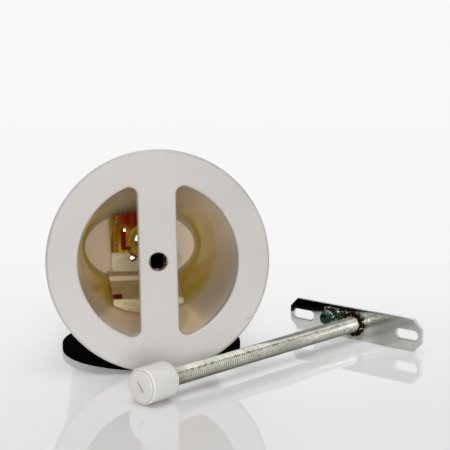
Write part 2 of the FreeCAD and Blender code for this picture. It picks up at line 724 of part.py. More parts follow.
def strip_rivets():
    rivets = []
    for side in (-1, 1):
        places = [(side * (s.strip_out - s.strip_width + s.rivet_radius), s.strip_top - s.rivet_radius),
                  (side * (s.foot_in + s.rivet_radius), s.rivet_radius - s.strip_foot)]
        for number, (x, y) in enumerate(places):
            low = COVER_TOP + s.strip_thick
            rivets.append(cylinder("rivet_%d_%d" % (side + 1, number), s.rivet_radius, low,
                                   low + s.rivet_rise, x, y))
    return collect("strip_rivets", rivets)


def moving_contact():
    """Copper band let onto the drum over half a turn."""
    low = COVER_LOW - s.level_gap - s.bridge_height
    top = COVER_LOW - s.level_gap
    outer = cylinder("band_outer", s.drum_radius + s.bridge_thick, low, top)
    inner = cylinder("band_inner", s.drum_radius, low - 1.0, top + 1.0)
    away = box("band_gap", -20.0, 20.0, 3.4, 20.0, low - 1.0, top + 1.0)
    return cut("moving_contact", outer, inner, away)


def contact_drum():
    low = WHEEL_TOP
    top = COVER_LOW - s.level_gap
    drum = cylinder("drum_body", s.drum_radius, low, top)
    collar = cylinder("drum_collar", s.collar_radius, top, COLLAR_TOP)
    bore = cylinder("drum_bore", s.hub_radius + s.running, low - 1.0, COLLAR_TOP + 1.0)
    flutes = []
    for number in range(int(s.collar_flutes.value)):
        x, y = polar(360.0 * number / s.collar_flutes.value, 1.0)
        flutes.append(cylinder("flute_%d" % number, s.flute_radius, top, COLLAR_TOP + 1.0,
                               x * s.collar_radius, y * s.collar_radius))
    return cut("contact_drum", fuse("drum_solid", drum, collar), bore, fuse("flutes", *flutes))


# ---------------------------------------------------------------- ratchet, lever and pawl

def ratchet_wheel():
    """Saw-toothed steel wheel: one tooth space cut and repeated round the axis."""
    body = new_body("ratchet_wheel")
    blank = new_sketch(body, "wheel_blank", level=WHEEL_LOW)
    circle(blank, s.wheel_radius)
    circle(blank, s.hub_radius + s.running)
    pad(body, "wheel_sheet", blank, s.wheel_thick)
    gap = new_sketch(body, "tooth_gap", level=WHEEL_TOP)
    step = 360.0 / s.wheel_teeth.value
    over = s.wheel_radius + 1.0
    corners = []
    for angle, reach in ((s.pawl_angle.value - step, over), (s.pawl_angle.value - step, s.wheel_radius),
                         (s.pawl_angle.value, s.wheel_root), (s.pawl_angle.value, over)):
        x, y = polar(angle, 1.0)
        corners.append((x * reach, y * reach))
    polygon(gap, corners)
    first = pocket(body, "tooth_space", gap, s.wheel_thick + 0.1)
    ring = body.newObject("PartDesign::PolarPattern", "tooth_ring")
    ring.Originals = [first]
    ring.Axis = (gap, ["N_Axis"])
    ring.Angle = 360.0
    ring.Occurrences = int(s.wheel_teeth.value)
    body.Tip = ring
    return body


def arm(name, angle, reach, width, boss, z0, z1):
    """A flat arm from the axis to a round end."""
    bar = box(name + "_bar", 0.0, reach, -width / 2, width / 2, z0, z1)
    turned = doc.addObject("Part::Compound", name + "_turned")
    turned.Links = [bar]
    turned.Placement = FreeCAD.Placement(V(0, 0, 0), turn_about((0, 0, 1), angle))
    x, y = polar(angle, 1.0)
    end = cylinder(name + "_end", boss, z0, z1, x * reach, y * reach)
    return turned, end


def pull_lever():
    """Steel lever on the hub: one arm takes the cord, the other carries the pawl."""
    ring = cylinder("lever_ring", s.lever_hub_radius, LEVER_LOW, LEVER_TOP)
    cord_bar, cord_end = arm("cord_arm", s.lever_angle.value, s.lever_reach, s.lever_width,
                             s.lever_width / 2 + 0.5, LEVER_LOW, LEVER_TOP)
    pawl_bar, pawl_end = arm("pawl_arm", s.pawl_angle.value, s.pawl_reach, s.lever_width,
                             s.lever_width / 2 - 0.4, LEVER_LOW, LEVER_TOP)
    bore = cylinder("lever_bore", s.hub_radius + s.running, LEVER_LOW - 1.0, LEVER_TOP + 1.0)
    x, y = polar(s.lever_angle.value, 1.0)
    eye = cylinder("lever_eye_hole", s.eyelet_radius, LEVER_LOW - 1.0, LEVER_TOP + 1.0,
                   x * s.lever_reach, y * s.lever_reach)
    x, y = pawl_place()
    pin = cylinder("lever_pin_hole", s.pin_radius, LEVER_LOW - 1.0, LEVER_TOP + 1.0, x, y)
    solid = fuse("lever_solid", ring, cord_bar, cord_end, pawl_bar, pawl_end)
    return cut("pull_lever", solid, bore, eye, pin)


def cord_eyelet():
    """Brass eyelet that takes the pull cord's knot."""
    x, y = polar(s.lever_angle.value, 1.0)
    x = x * s.lever_reach
    y = y * s.lever_reach
    tube = cylinder("eyelet_tube", s.eyelet_radius - 0.02, LEVER_LOW - 0.5, LEVER_TOP + 0.5, x, y)
    lip = cylinder("eyelet_lip", s.eyelet_radius + 0.5, LEVER_TOP + 0.02, LEVER_TOP + 0.5, x, y)
    hole = cylinder("eyelet_hole", s.eye_radius, LEVER_LOW - 2.0, LEVER_TOP + 2.0, x, y)
    return cut("cord_eyelet", fuse("eyelet_solid", tube, lip), hole)


def pawl_place():
    """The pawl's pin, from the axis."""
    x, y = polar(s.pawl_angle.value, 1.0)
    return x * s.pawl_reach, y * s.pawl_reach


PAWL_TOP = WHEEL_LOW + s.pawl_thick
PIN_HEAD = PAWL_TOP + s.pawl_spring_pitch * 2 + s.pawl_spring_wire * 4


def pawl_pin():
    x, y = pawl_place()
    shank = cylinder("pin_shank", s.pin_radius - 0.02, LEVER_LOW - 0.4, PIN_HEAD + 0.5, x, y)
    head = cylinder("pin_head", s.pin_radius + 1.0, PIN_HEAD, PIN_HEAD + 0.5, x, y)
    return fuse("pawl_pin", shank, head)


def pawl():
    """Pawl on its pin; its nose lies in a tooth space of the wheel, clear of the tooth's face."""
    body = new_body("pawl")
    outline = new_sketch(body, "pawl_outline", level=WHEEL_LOW)

    def at(degrees, reach):
        """A point by its angle ahead of the pawl arm and its distance from the axis."""
        x, y = polar(s.pawl_angle.value + degrees, 1.0)
        return x * reach, y * reach

    swing = s.pawl_swing.value
    boss = s.pawl_boss_radius
    pin = s.pawl_reach
    polygon(outline, [
        at(0.0, pin + boss),
        at(swing * 0.3, pin + boss * 0.4),
        at(swing * 0.75, s.wheel_radius + boss),
        at(swing, s.wheel_radius + boss * 0.4),
        at(swing, s.wheel_root + s.pawl_play * 2),
        at(swing * 0.8, s.wheel_root + s.pawl_play * 4),
        at(swing * 0.4, s.wheel_radius + s.pawl_play),
        at(0.0, pin - boss),
        at(-swing * 0.2, pin),
    ])
    x, y = pawl_place()
    circle(outline, s.pin_radius + s.running, x, y)
    pad(body, "pawl_sheet", outline, s.pawl_thick)
    return body


def coil(name, radius, wire, pitch, turns):
    """A coil round the z axis, the middle of its wire starting at the origin's level."""
    helix = Part.makeHelix(pitch, pitch * turns, radius)
    ring = Part.Wire([Part.Circle(V(radius, 0, 0), V(0, 1, 0), wire).toShape()])
    thing = doc.addObject("Part::Feature", name)
    thing.Shape = Part.Wire(helix.Edges).makePipeShell([ring], True, True)
    return thing


def pawl_spring():
    """Coil on the pawl's pin with a leg that lies on the pawl."""
    wire = s.pawl_spring_wire
    low = PAWL_TOP + wire + s.running
    winding = coil("pawl_spring_coil", s.pawl_spring_radius.value, wire.value, s.pawl_spring_pitch.value, 2)
    leg = doc.addObject("Part::Cylinder", "pawl_spring_leg")
    bind(leg, "Radius", wire)
    bind(leg, "Height", s.pawl_spring_leg)
    place(leg, s.pawl_spring_radius, 0.0, 0.0, turn_about((1, 0, 0), -90))
    thing = collect("pawl_spring", [fuse("pawl_spring_wire_shape", winding, leg)])
    x, y = pawl_place()
    ahead = turn_about((0, 0, 1), s.pawl_angle.value + s.pawl_swing.value / 2)
    thing.Placement = FreeCAD.Placement(V(x.value, y.value, low.value), ahead)
    return thing


def return_spring():
    """Coil round the hub that brings the lever back."""
    low = SLAB_TOP + s.hub_flange_thick + s.spring_wire + s.rest_gap
    thing = coil("return_spring", s.spring_radius.value, s.spring_wire.value, s.spring_pitch.value,
                 s.spring_turns.value)
    thing.Placement = FreeCAD.Placement(V(0, 0, low.value), FreeCAD.Rotation())
    return thing


def hub_clip():
    low = COLLAR_TOP + s.level_gap
    ring = cylinder("clip_ring", s.clip_radius, low, low + s.clip_thick)
    bore = cylinder("clip_bore", s.hub_radius, low - 1.0, low + s.clip_thick + 1.0)
    gap = box("clip_gap", -1.6, 1.6, 0.0, s.clip_radius + 1.0, low - 1.0, low + s.clip_thick + 1.0)
    return cut("hub_clip", ring, bore, gap)


# ---------------------------------------------------------------- cord bush and terminals

def cord_bush():
    """Bush of the pull cord: a lip outside the end wall, and a lip below the lever to turn the cord."""
    low = END - s.bush_lip_thick
    top = FLOOR + s.bush_rise
    y = -s.bush_y
    tube = cylinder("bush_tube", s.bush_radius, low, top, s.bush_x, y)
    outside = cylinder("bush_lip_out", s.bush_lip_radius, low, END - s.rest_gap, s.bush_x, y)
    inside = cylinder("bush_lip_in", s.bush_lip_radius, top - s.bush_lip_thick, top, s.bush_x, y)
    bore = cylinder("bush_bore", s.bush_bore_radius, low - 1.0, top + 1.0, s.bush_x, y)
    return cut("cord_bush", fuse("bush_solid", tube, outside, inside), bore)


def cord_guide():
    """Black block on the slab that carries the cord from the bush towards the lever's eye."""
    low = SLAB_TOP + s.rest_gap
    top = FLOOR + s.guide_rise
    y = -s.bush_y
    block = box("guide_block", GUIDE_LEFT, GUIDE_RIGHT, y - s.guide_length / 2, y + s.guide_length / 2,
                low, top)
    groove = box("guide_groove", GUIDE_LEFT - 1.0, GUIDE_RIGHT + 1.0, y - s.bush_bore_radius,
                 y + s.bush_bore_radius, top - s.guide_groove, top + 1.0)
    peg = cylinder("guide_peg", s.screw_radius - s.rest_gap, SLAB_LOW + s.rest_gap, low + 0.2,
                   GUIDE_MIDDLE, y)
    return cut("cord_guide", fuse("guide_solid", block, peg), groove)


def shelf_slope():
    """Tilt of the shelf's top below its step, in degrees."""
    run = s.shelf_reach.value - s.terrace_reach.value
    return math.degrees(math.atan2(s.shelf_front_y.value - s.step_y.value, run))


def on_shelf(label, parts, reach):
    """Seat pieces drawn flat on the sloping shelf: x across, y up from it, z towards the face."""
    turned = doc.addObject("Part::Compound", label)
    turned.Links = parts
    rise = math.tan(math.radians(shelf_slope()))
    down = rise * (s.shelf_reach - reach).value + s.rest_gap.value - s.shelf_front_y.value
    seat = V(0, down, (FLOOR + reach).value)
    turned.Placement = FreeCAD.Placement(seat, turn_about((1, 0, 0), shelf_slope()))
    return turned


def terminal(name, number):
    """Brass terminal block with a lead hole and a clamping screw from above."""
    x0 = s.terminal_inner + s.terminal_pitch * number
    x1 = x0 + s.terminal_width
    middle = x0 + s.terminal_width / 2
    block = box(name + "_block", x0, x1, 0.0, s.terminal_height, -s.terminal_length, 0.0)
    lead = cylinder(name + "_lead_hole", 1.3, -s.terminal_length - 1.0, 1.0, middle, 2.2)
    tap = doc.addObject("Part::Cylinder", name + "_tap")
    bind(tap, "Radius", s.screw_radius)
    bind(tap, "Height", s.terminal_height)
    place(tap, middle, 2.2, -s.terminal_length / 2, ALONG_Y)
    return on_shelf(name, [cut(name + "_drilled", block, lead, tap)], s.shelf_reach - s.terminal_setback)


def terminal_screws():
    screws = []
    for number in range(2):
        middle = s.terminal_inner + s.terminal_pitch * number + s.terminal_width / 2
        shank = doc.addObject("Part::Cylinder", "terminal_shank_%d" % number)
        bind(shank, "Radius", s.screw_radius - s.running)
        bind(shank, "Height", s.terminal_height - 2.6)
        place(shank, middle, 3.8, -s.terminal_length / 2, ALONG_Y)
        slot = box("terminal_slot_%d" % number, middle - 3.0, middle + 3.0, s.terminal_height + 0.6, 20.0,
                   -s.terminal_length / 2 - 0.3, -s.terminal_length / 2 + 0.3)
        screws.append(cut("terminal_screw_%d" % number, shank, slot))
    return on_shelf("terminal_screws", screws, s.shelf_reach - s.terminal_setback)


def loop_terminal():
    """Copper tab at the shelf's left front edge, for looping a conductor through."""
    x0 = -s.shelf_half_width + 0.2
    tab = box("tab_plate", x0, x0 + s.tab_width, 0.0, s.tab_thick, -s.tab_length, -0.4)
    hole = doc.addObject("Part::Cylinder", "tab_hole")
    bind(hole, "Radius", s.rivet_radius)
    bind(hole, "Height", s.tab_thick + 2.0)
    place(hole, x0 + s.tab_width / 2, -1.0, -s.tab_length / 2, ALONG_Y)
    return on_shelf("loop_terminal", [cut("tab_drilled", tab, hole)], s.shelf_reach)


# ---------------------------------------------------------------- bracket, rod and cap nut
# Drawn round the rod's axis: y = 0 is the bracket's front face, the rod's free end is at -y.

def bracket_plate():
    """Zinc-plated strip with cut corners, two slots, and holes for rod and earth screw."""
    body = new_body("bracket_plate")
    outline = new_sketch(body, "strip_outline", "XZ_Plane")
    half = s.bracket_length / 2
    side = s.bracket_height / 2
    corner = s.bracket_corner
    polygon(outline, [
        (-half + corner, -side), (half - corner, -side), (half, corner - side), (half, side - corner),
        (half - corner, side), (corner - half, side), (-half, side - corner), (-half, corner - side),
    ])
    pad(body, "strip_sheet", outline, s.bracket_thick, downwards=True)
    holes = new_sketch(body, "strip_holes", "XZ_Plane")
    circle(holes, s.rod_radius + s.running)
    circle(holes, s.earth_radius + s.running, s.earth_x, s.earth_up)
    for end in (-1, 1):
        slot(holes, end * (half - s.slot_inset), s.slot_length, s.slot_width)
    pocket(body, "strip_punched", holes, s.bracket_thick + 0.1)
    return body


def slot(sketch, middle, length, width):
    """A round-ended slot along x."""
    radius = width / 2
    half = (length - width) / 2
    left = middle - half
    right = middle + half
    first = sketch.addGeometry(Part.ArcOfCircle(
        Part.Circle(V(left.value, 0, 0), V(0, 0, 1), radius.value), math.pi / 2, 3 * math.pi / 2))
    second = sketch.addGeometry(Part.ArcOfCircle(
        Part.Circle(V(right.value, 0, 0), V(0, 0, 1), radius.value), -math.pi / 2, math.pi / 2))
    top = sketch.addGeometry(Part.LineSegment(
        V(left.value, radius.value, 0), V(right.value, radius.value, 0)))
    low = sketch.addGeometry(Part.LineSegment(
        V(left.value, -radius.value, 0), V(right.value, -radius.value, 0)))
    joins = ((first, 1, top, 1), (top, 2, second, 2), (second, 1, low, 2), (low, 1, first, 2))
    for join in joins:
        sketch.addConstraint(Sketcher.Constraint("Tangent", *join))
    sketch.addConstraint(Sketcher.Constraint("Horizontal", top))
    held = sketch.addConstraint(Sketcher.Constraint("Radius", first, radius.value))
    sketch.setExpression("Constraints[%d]" % held, radius.text)
    fix_point(sketch, first, 3, left, 0.0)
    held = sketch.addConstraint(Sketcher.Constraint("DistanceX", -1, 1, second, 3, right.value))
    sketch.setExpression("Constraints[%d]" % held, right.text)


CAP_MOUTH = -s.rod_reach
CAP_END = CAP_MOUTH - s.cap_length


def threaded_rod():
    """Rod screwed through the bracket and riveted flush at its back."""
    bar = rod_along_y("rod_bar", s.rod_radius, CAP_MOUTH - s.rod_in_cap, s.bracket_thick)
    return collect("threaded_rod", [bar])


def lock_washer():
    """Toothed washer that locks the rod in the bracket."""
    disc = rod_along_y("washer_disc", s.lock_washer_radius, -s.lock_washer_thick - s.rest_gap, -s.rest_gap)
    bore = rod_along_y("washer_bore", s.rod_radius + s.running, -5.0, 1.0)
    notches = []
    for number in range(int(s.lock_washer_teeth.value)):
        x, z = polar(360.0 * (number + 0.5) / s.lock_washer_teeth.value, 1.0)
        notches.append(rod_along_y("washer_notch_%d" % number, 0.7, -5.0, 1.0,
                                   x * s.lock_washer_radius, z * s.lock_washer_radius))
    return cut("lock_washer", disc, bore, fuse("washer_notches", *notches))


def earth_screw():
    """Green protective-earth screw through the bracket, with a driver slot."""
    x = s.earth_x
    z = s.earth_up
    seat = -s.earth_shank
    shank = rod_along_y("earth_shank", s.earth_radius, seat, s.bracket_thick, x, z)
    head = rod_along_y("earth_head", s.earth_head_radius, seat - s.earth_head_thick, seat, x, z)
    end = seat - s.earth_head_thick
    groove = box("earth_slot", x - 5.0, x + 5.0, end - 1.0, end + 0.8, z - 0.4, z + 0.4)
    return cut("earth_screw", fuse("earth_solid", shank, head), groove)


def earth_clamp():
    """Saddle with lips on the bracket and a flat washer under the screw's head."""
    x = s.earth_x
    z = s.earth_up
    half = s.saddle_width / 2
    seat = -s.earth_shank
    clear = s.earth_radius + s.running
    washer = rod_along_y("earth_washer_disc", s.earth_radius * 2, seat + s.rest_gap,
                         seat + s.saddle_thick, x, z)
    washer_bore = rod_along_y("earth_washer_bore", clear, seat - 1.0, 1.0, x, z)

    def plate(label, x0, x1, reach):
        return box(label, x0, x1, -reach, -s.rest_gap, z - s.saddle_below, z + s.saddle_above)

    saddle = fuse(
        "saddle_solid",
        plate("saddle_plate", x - half, x + half, s.saddle_thick + s.rest_gap),
        plate("saddle_lip_left", x - half, x - half + s.saddle_thick, s.saddle_thick + s.saddle_lip),
        plate("saddle_lip_right", x + half - s.saddle_thick, x + half, s.saddle_thick + s.saddle_lip))
    saddle_bore = rod_along_y("saddle_bore", clear, seat - 1.0, 1.0, x, z)
    return collect("earth_clamp", [
        cut("earth_saddle", saddle, saddle_bore), cut("earth_washer", washer, washer_bore)])


def cap_shell():
    """Off-white cap nut: raised end disc with a groove round it and a short driver slot."""
    body = new_body("cap_shell")
    profile = new_sketch(body, "cap_profile", "XY_Plane")
    outer = s.cap_radius
    shoulder = CAP_END + s.cap_face_step
    disc = s.cap_face_radius
    bore = s.cap_insert_radius
    bottom = CAP_MOUTH - s.rod_in_cap - 0.8
    polygon(profile, [
        (0.0, CAP_END),
        (disc, CAP_END),
        (disc, shoulder + s.cap_groove),
        (disc + s.cap_groove, shoulder + s.cap_groove),
        (disc + s.cap_groove, shoulder),
        (outer, shoulder + 0.4),
        (outer, CAP_MOUTH),
        (bore, CAP_MOUTH),
        (bore, bottom),
        (0.0, bottom),
    ])
    spun(body, "cap_turned", profile)
    return body


def cap_slotted(shell):
    """The driver slot, cut across the cap's end disc at a slant."""
    half = s.cap_slot_length / 2
    side = s.cap_slot_width / 2
    key = box("driver_key", -half, half, CAP_END - 1.0, CAP_END + s.cap_slot_depth, -side, side)
    turned = doc.addObject("Part::Compound", "driver_key_turned")
    turned.Links = [key]
    turned.Placement = FreeCAD.Placement(V(0, 0, 0), turn_about((0, 1, 0), 52.0))
    return cut("cap_nut", shell, turned)


def cap_insert():
    """Threaded brass insert bonded in the cap nut."""
    low = CAP_MOUTH - s.rod_in_cap - 0.6
    top = CAP_MOUTH - s.cap_washer_thick - s.rest_gap * 2
    sleeve = rod_along_y("insert_sleeve", s.cap_insert_radius - 0.02, low, top)
    bore = rod_along_y("insert_bore", s.rod_radius + s.running, low - 1.0, top + 1.0)
    return cut("cap_insert", sleeve, bore)


def cap_washer():
    """Spring washer that the cap nut pushes along the rod."""
    low = CAP_MOUTH - s.cap_washer_thick - s.rest_gap
    top = CAP_MOUTH - s.rest_gap
    ring = rod_along_y("cap_washer_ring", s.cap_insert_radius - 0.3, low, top)
    bore = rod_along_y("cap_washer_bore", s.rod_radius + s.running, low - 1.0, top + 1.0)
    return cut("cap_washer", ring, bore)


# ---------------------------------------------------------------- places on the table

def lay_down():
    """The bell lies on its slope, its lower side level and just above the sealing disc."""
    run = s.housing_length.value - s.rim_thick.value
    below_rim = (s.face_radius - s.rim_overhang).value
    lean = math.atan2(below_rim - s.body_end_radius.value, run)
    apex = below_rim + s.rim_thick.value * math.tan(lean)
    on_disc = s.disc_thick.value + apex * math.cos(lean)
    edge = s.rim_edge.value
    on_rim = ((s.face_radius.value - edge) * math.cos(lean)
              + (s.rim_thick.value - edge) * math.sin(lean) + edge)
    height = max(on_disc, on_rim) + s.rest_gap.value
    yaw = s.housing_turn.value - 90.0
    turned = FreeCAD.Rotation(yaw, 0.0, 90.0 - math.degrees(lean))
    rolled = turned.multiply(turn_about((0, 0, 1), s.housing_roll.value))
    return FreeCAD.Placement(V(s.face_x.value, s.face_y.value, height), rolled), lean


def disc_place(face, lean):
    """The disc lies flat, its front edge just behind the rim's lowest point."""
    back_of_rim = s.rim_thick.value * math.cos(lean) - s.face_radius.value * math.sin(lean)
    x, y = polar(s.housing_turn.value, back_of_rim + s.disc_gap.value + s.disc_radius.value)
    return FreeCAD.Placement(V(face.x + x, face.y + y, 0), FreeCAD.Rotation())


def build():
    in_housing = [
        housing(), hub_sleeve(), hub_nut(), insert_base(), base_screws(), cover_plate(), cover_screws(),
        contact_strip("contact_strip_left", -1), contact_strip("contact_strip_right", 1), strip_rivets(),
        moving_contact(), contact_drum(), ratchet_wheel(), pull_lever(), cord_eyelet(), pawl_pin(), pawl(),
        pawl_spring(), return_spring(), hub_clip(), cord_bush(), cord_guide(), terminal("terminal_line", 0),
        terminal("terminal_load", 1), terminal_screws(), loop_terminal(),
    ]
    on_rod = [
        bracket_plate(), threaded_rod(), lock_washer(), earth_screw(), earth_clamp(),
        cap_slotted(cap_shell()), cap_insert(), cap_washer(),
    ]
    disc = sealing_disc()
    doc.recompute()
    housing_place, lean = lay_down()
    rod_place = FreeCAD.Placement(V(0, 0, s.bracket_height.value / 2), FreeCAD.Rotation())
    for thing in in_housing:
        thing.Placement = housing_place.multiply(thing.Placement)
    for thing in on_rod:
        thing.Placement = rod_place.multiply(thing.Placement)
    disc.Placement = disc_place(housing_place.Base, lean)
    pieces = in_housing + on_rod + [disc]
    doc.recompute()

    overall = FreeCAD.BoundBox()
    for thing in pieces:
        overall.add(thing.Shape.optimalBoundingBox(False, False))
    centre = FreeCAD.Placement(V(-overall.Center.x, -overall.Center.y, 0), FreeCAD.Rotation())
    for thing in pieces:
        thing.Placement = centre.multiply(thing.Placement)
    doc.recompute()
    return pieces


pieces = build()

for thing in doc.Objects:
    if "Invalid" in thing.State or "Error" in thing.State:
        raise RuntimeError("%s failed: %s" % (thing.Name, thing.State))
for thing in pieces:
    if thing.Shape.isNull() or not thing.Shape.isValid() or not thing.Shape.Solids:
        raise RuntimeError("%s has no sound solid" % thing.Label)

os.makedirs("parts", exist_ok=True)
for thing in pieces:
    thing.Label = thing.Name
    thing.Shape.exportStep("parts/%s.step" % thing.Label)
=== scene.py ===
"""Ceiling pull switch laid out for fitting.

A bell of white porcelain with a rotary switch in its far end leans on its black sealing
disc, and beside it lies the slotted ceiling bracket with its threaded rod and cap nut.
Metres, +Z up, origin in the middle of the set on the table.
"""
import json
import math
import bmesh
import bpy
from mathutils import Matrix, Vector


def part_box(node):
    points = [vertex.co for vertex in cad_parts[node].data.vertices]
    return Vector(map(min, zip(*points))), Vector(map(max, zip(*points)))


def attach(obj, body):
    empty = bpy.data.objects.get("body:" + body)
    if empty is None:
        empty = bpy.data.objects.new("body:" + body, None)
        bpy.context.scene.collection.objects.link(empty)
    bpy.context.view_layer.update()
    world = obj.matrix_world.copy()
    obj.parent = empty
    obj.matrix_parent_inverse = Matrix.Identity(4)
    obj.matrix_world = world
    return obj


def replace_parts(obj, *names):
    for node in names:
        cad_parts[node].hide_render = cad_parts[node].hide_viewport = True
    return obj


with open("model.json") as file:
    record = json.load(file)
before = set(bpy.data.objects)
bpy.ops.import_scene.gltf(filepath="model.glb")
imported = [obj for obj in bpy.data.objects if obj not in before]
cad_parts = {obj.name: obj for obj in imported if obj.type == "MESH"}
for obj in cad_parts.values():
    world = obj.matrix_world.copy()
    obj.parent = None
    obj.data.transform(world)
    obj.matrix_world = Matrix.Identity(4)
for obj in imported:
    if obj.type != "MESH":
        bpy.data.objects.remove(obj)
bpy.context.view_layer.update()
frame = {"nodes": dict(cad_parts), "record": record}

# ------------------------------------------------------------------ viewpoint
# A long lens a little above the table looks over the cap nut at the open face
# of the bell, with the bracket's face turned towards it.

viewer = bpy.data.cameras.new("viewer")
viewer.lens = 122.4
viewer.sensor_width = 36.0
viewer.clip_start, viewer.clip_end = 0.02, 30.0
viewpoint = bpy.data.objects.new("viewer", viewer)
bpy.context.scene.collection.objects.link(viewpoint)
bpy.context.scene.camera = viewpoint
look_down = math.radians(10.07)
heading = Vector((-0.6644, 0.7474, 0.0)).normalized()
sight = heading * math.cos(look_down) - Vector((0.0, 0.0, math.sin(look_down)))
viewpoint.location = (0.50884, -0.53234, 0.1927)
viewpoint.rotation_mode = "QUATERNION"
viewpoint.rotation_quaternion = sight.to_track_quat("-Z", "Y")
bpy.context.scene.view_settings.view_transform = "Standard"


# ------------------------------------------------------------------ table and light
# The set lies on a sheet of white acrylic in a white tent, under a large soft
# light. A smaller one stands in front, and weaker ones stand round the set.

def new_material(name):
    """An empty material with its shader, ready for its nodes."""
    material = bpy.data.materials.new(name)
    material.use_nodes = True
    tree = material.node_tree
    tree.nodes.clear()
    out = tree.nodes.new("ShaderNodeOutputMaterial")
    shader = tree.nodes.new("ShaderNodeBsdfPrincipled")
    tree.links.new(shader.outputs["BSDF"], out.inputs["Surface"])
    return material, tree, shader


def add(tree, kind, links=None, **values):
    """One node with its settings; links feed its sockets, other values are set on them."""
    node = tree.nodes.new("ShaderNode" + kind)
    for key, value in values.items():
        if hasattr(node, key):
            setattr(node, key, value)
        else:
            node.inputs[key.replace("_", " ")].default_value = value
    for key, source in (links or {}).items():
        tree.links.new(source, node.inputs[key])
    return node


def sum_of(tree, operation, first, second=None):
    """Arithmetic on two values, each a socket or a number."""
    node = tree.nodes.new("ShaderNodeMath")
    node.operation = operation
    for index, value in enumerate((first, second)):
        if isinstance(value, bpy.types.NodeSocket):
            tree.links.new(value, node.inputs[index])
        elif value is not None:
            node.inputs[index].default_value = value
    return node.outputs[0]


def both(tree, *masks):
    """Masks or numbers multiplied together."""
    product = masks[0]
    for mask in masks[1:]:
        product = sum_of(tree, "MULTIPLY", product, mask)
    return product


def spread(tree, value, low, high, to_low=0.0, to_high=1.0, smooth=True):
    """A value's range from low to high drawn out over another range, ends held."""
    node = tree.nodes.new("ShaderNodeMapRange")
    node.interpolation_type = "SMOOTHSTEP" if smooth else "LINEAR"
    tree.links.new(value, node.inputs["Value"])
    for key, number in (("From Min", low), ("From Max", high), ("To Min", to_low), ("To Max", to_high)):
        node.inputs[key].default_value = number
    return node.outputs["Result"]


def blend_colours(tree, factor, first, second):
    """Mixes two colours, each a socket or a tuple, by a mask or a number."""
    node = tree.nodes.new("ShaderNodeMix")
    node.data_type = "RGBA"
    for socket, value in ((node.inputs[0], factor), (node.inputs[6], first), (node.inputs[7], second)):
        if isinstance(value, bpy.types.NodeSocket):
            tree.links.new(value, socket)
        elif isinstance(value, (int, float)):
            socket.default_value = value
        else:
            socket.default_value = (*value, 1.0)
    return node.outputs[2]


def along(tree, origin, direction):
    """How far a point of the object lies from an origin along a direction, in metres."""
    place = add(tree, "TexCoord").outputs["Object"]
    moved = add(tree, "VectorMath", {0: place}, operation="SUBTRACT")
    moved.inputs[1].default_value = origin
    dot = add(tree, "VectorMath", {0: moved.outputs[0]}, operation="DOT_PRODUCT")
    dot.inputs[1].default_value = direction
    return dot.outputs["Value"]


def noise(tree, scale, detail, roughness=0.5):
    """Noise in the object's own space, at a scale in repeats per metre."""
    place = add(tree, "TexCoord").outputs["Object"]
    texture = add(tree, "TexNoise", {"Vector": place}, Scale=scale, Detail=detail, Roughness=roughness)
    return texture.outputs["Fac"]


acrylic, tree, shader = new_material("white_acrylic")
shader.inputs["IOR"].default_value = 1.72
# the sheet passes into the bright sweep behind the set and close to the lens
distance = along(tree, viewpoint.location * Vector((1, 1, 0)), heading)
sheet_end = sum_of(tree, "MAXIMUM", spread(tree, distance, 0.64, 0.90, 0.0, 0.80, smooth=False),
                   spread(tree, distance, 0.90, 0.96))
sheet_end = sum_of(tree, "MAXIMUM", sheet_end, spread(tree, distance, 0.55, 0.40))
# painted shade: the sheet is painted darker near the lens and lighter further back
sheet_shade_near_lens = blend_colours(tree, spread(tree, distance, 0.50, 0.95, smooth=False),
                     (0.75, 0.75, 0.755), (0.92, 0.92, 0.925))
tree.links.new(sheet_shade_near_lens, shader.inputs["Base Color"])
tree.links.new(spread(tree, noise(tree, 9.0, 3.0), 0.3, 0.7, 0.015, 0.035), shader.inputs["Roughness"])
seen = add(tree, "LightPath")
shown = sum_of(tree, "MAXIMUM", seen.outputs["Is Camera Ray"], seen.outputs["Is Glossy Ray"])
haze = blend_colours(tree, spread(tree, distance, 1.0, 2.4), (0.925, 0.925, 0.925), (0.945, 0.945, 0.95))
sweep = add(tree, "Emission", {"Color": haze}, Strength=1.0)
faded = both(tree, sheet_end, shown)
top = add(tree, "MixShader", {0: faded, 1: shader.outputs[0], 2: sweep.outputs[0]})
tree.links.new(top.outputs[0], tree.nodes["Material Output"].inputs["Surface"])
table_mesh = bmesh.new()
bmesh.ops.create_grid(table_mesh, x_segments=8, y_segments=8, size=5.0)
table_data = bpy.data.meshes.new("table")
table_mesh.to_mesh(table_data)
table_mesh.free()
table_data.materials.append(acrylic)
table = bpy.data.objects.new("table", table_data)
bpy.context.scene.collection.objects.link(table)

tent = bpy.data.worlds.new("white_tent")
bpy.context.scene.world = tent
tent.use_nodes = True
tree = tent.node_tree
tree.nodes.clear()
seen = add(tree, "LightPath")
mirrored = sum_of(tree, "MAXIMUM", seen.outputs["Is Glossy Ray"], seen.outputs["Is Transmission Ray"])
shown = sum_of(tree, "MAXIMUM", seen.outputs["Is Camera Ray"], mirrored)
lighting = add(tree, "Background", Color=(0.98, 0.99, 1.0, 1.0), Strength=0.24)
backdrop = add(tree, "Background", Color=(0.925, 0.925, 0.935, 1.0), Strength=1.0)
either = add(tree, "MixShader", {0: shown, 1: lighting.outputs[0], 2: backdrop.outputs[0]})
add(tree, "OutputWorld", {"Surface": either.outputs[0]})


def soft_light(name, place, width, depth, watts, target=(0.0, 0.0, 0.05)):
    """A rectangular diffuser that faces a point of the set and stays out of the picture."""
    lamp = bpy.data.lights.new(name, "AREA")
    lamp.shape = "RECTANGLE"
    lamp.size, lamp.size_y, lamp.energy = width, depth, watts
    holder = bpy.data.objects.new(name, lamp)
    holder.location = place
    holder.rotation_mode = "QUATERNION"
    holder.rotation_quaternion = (Vector(target) - Vector(place)).to_track_quat("-Z", "Y")
    holder.visible_camera = False
    bpy.context.scene.collection.objects.link(holder)
    return holder


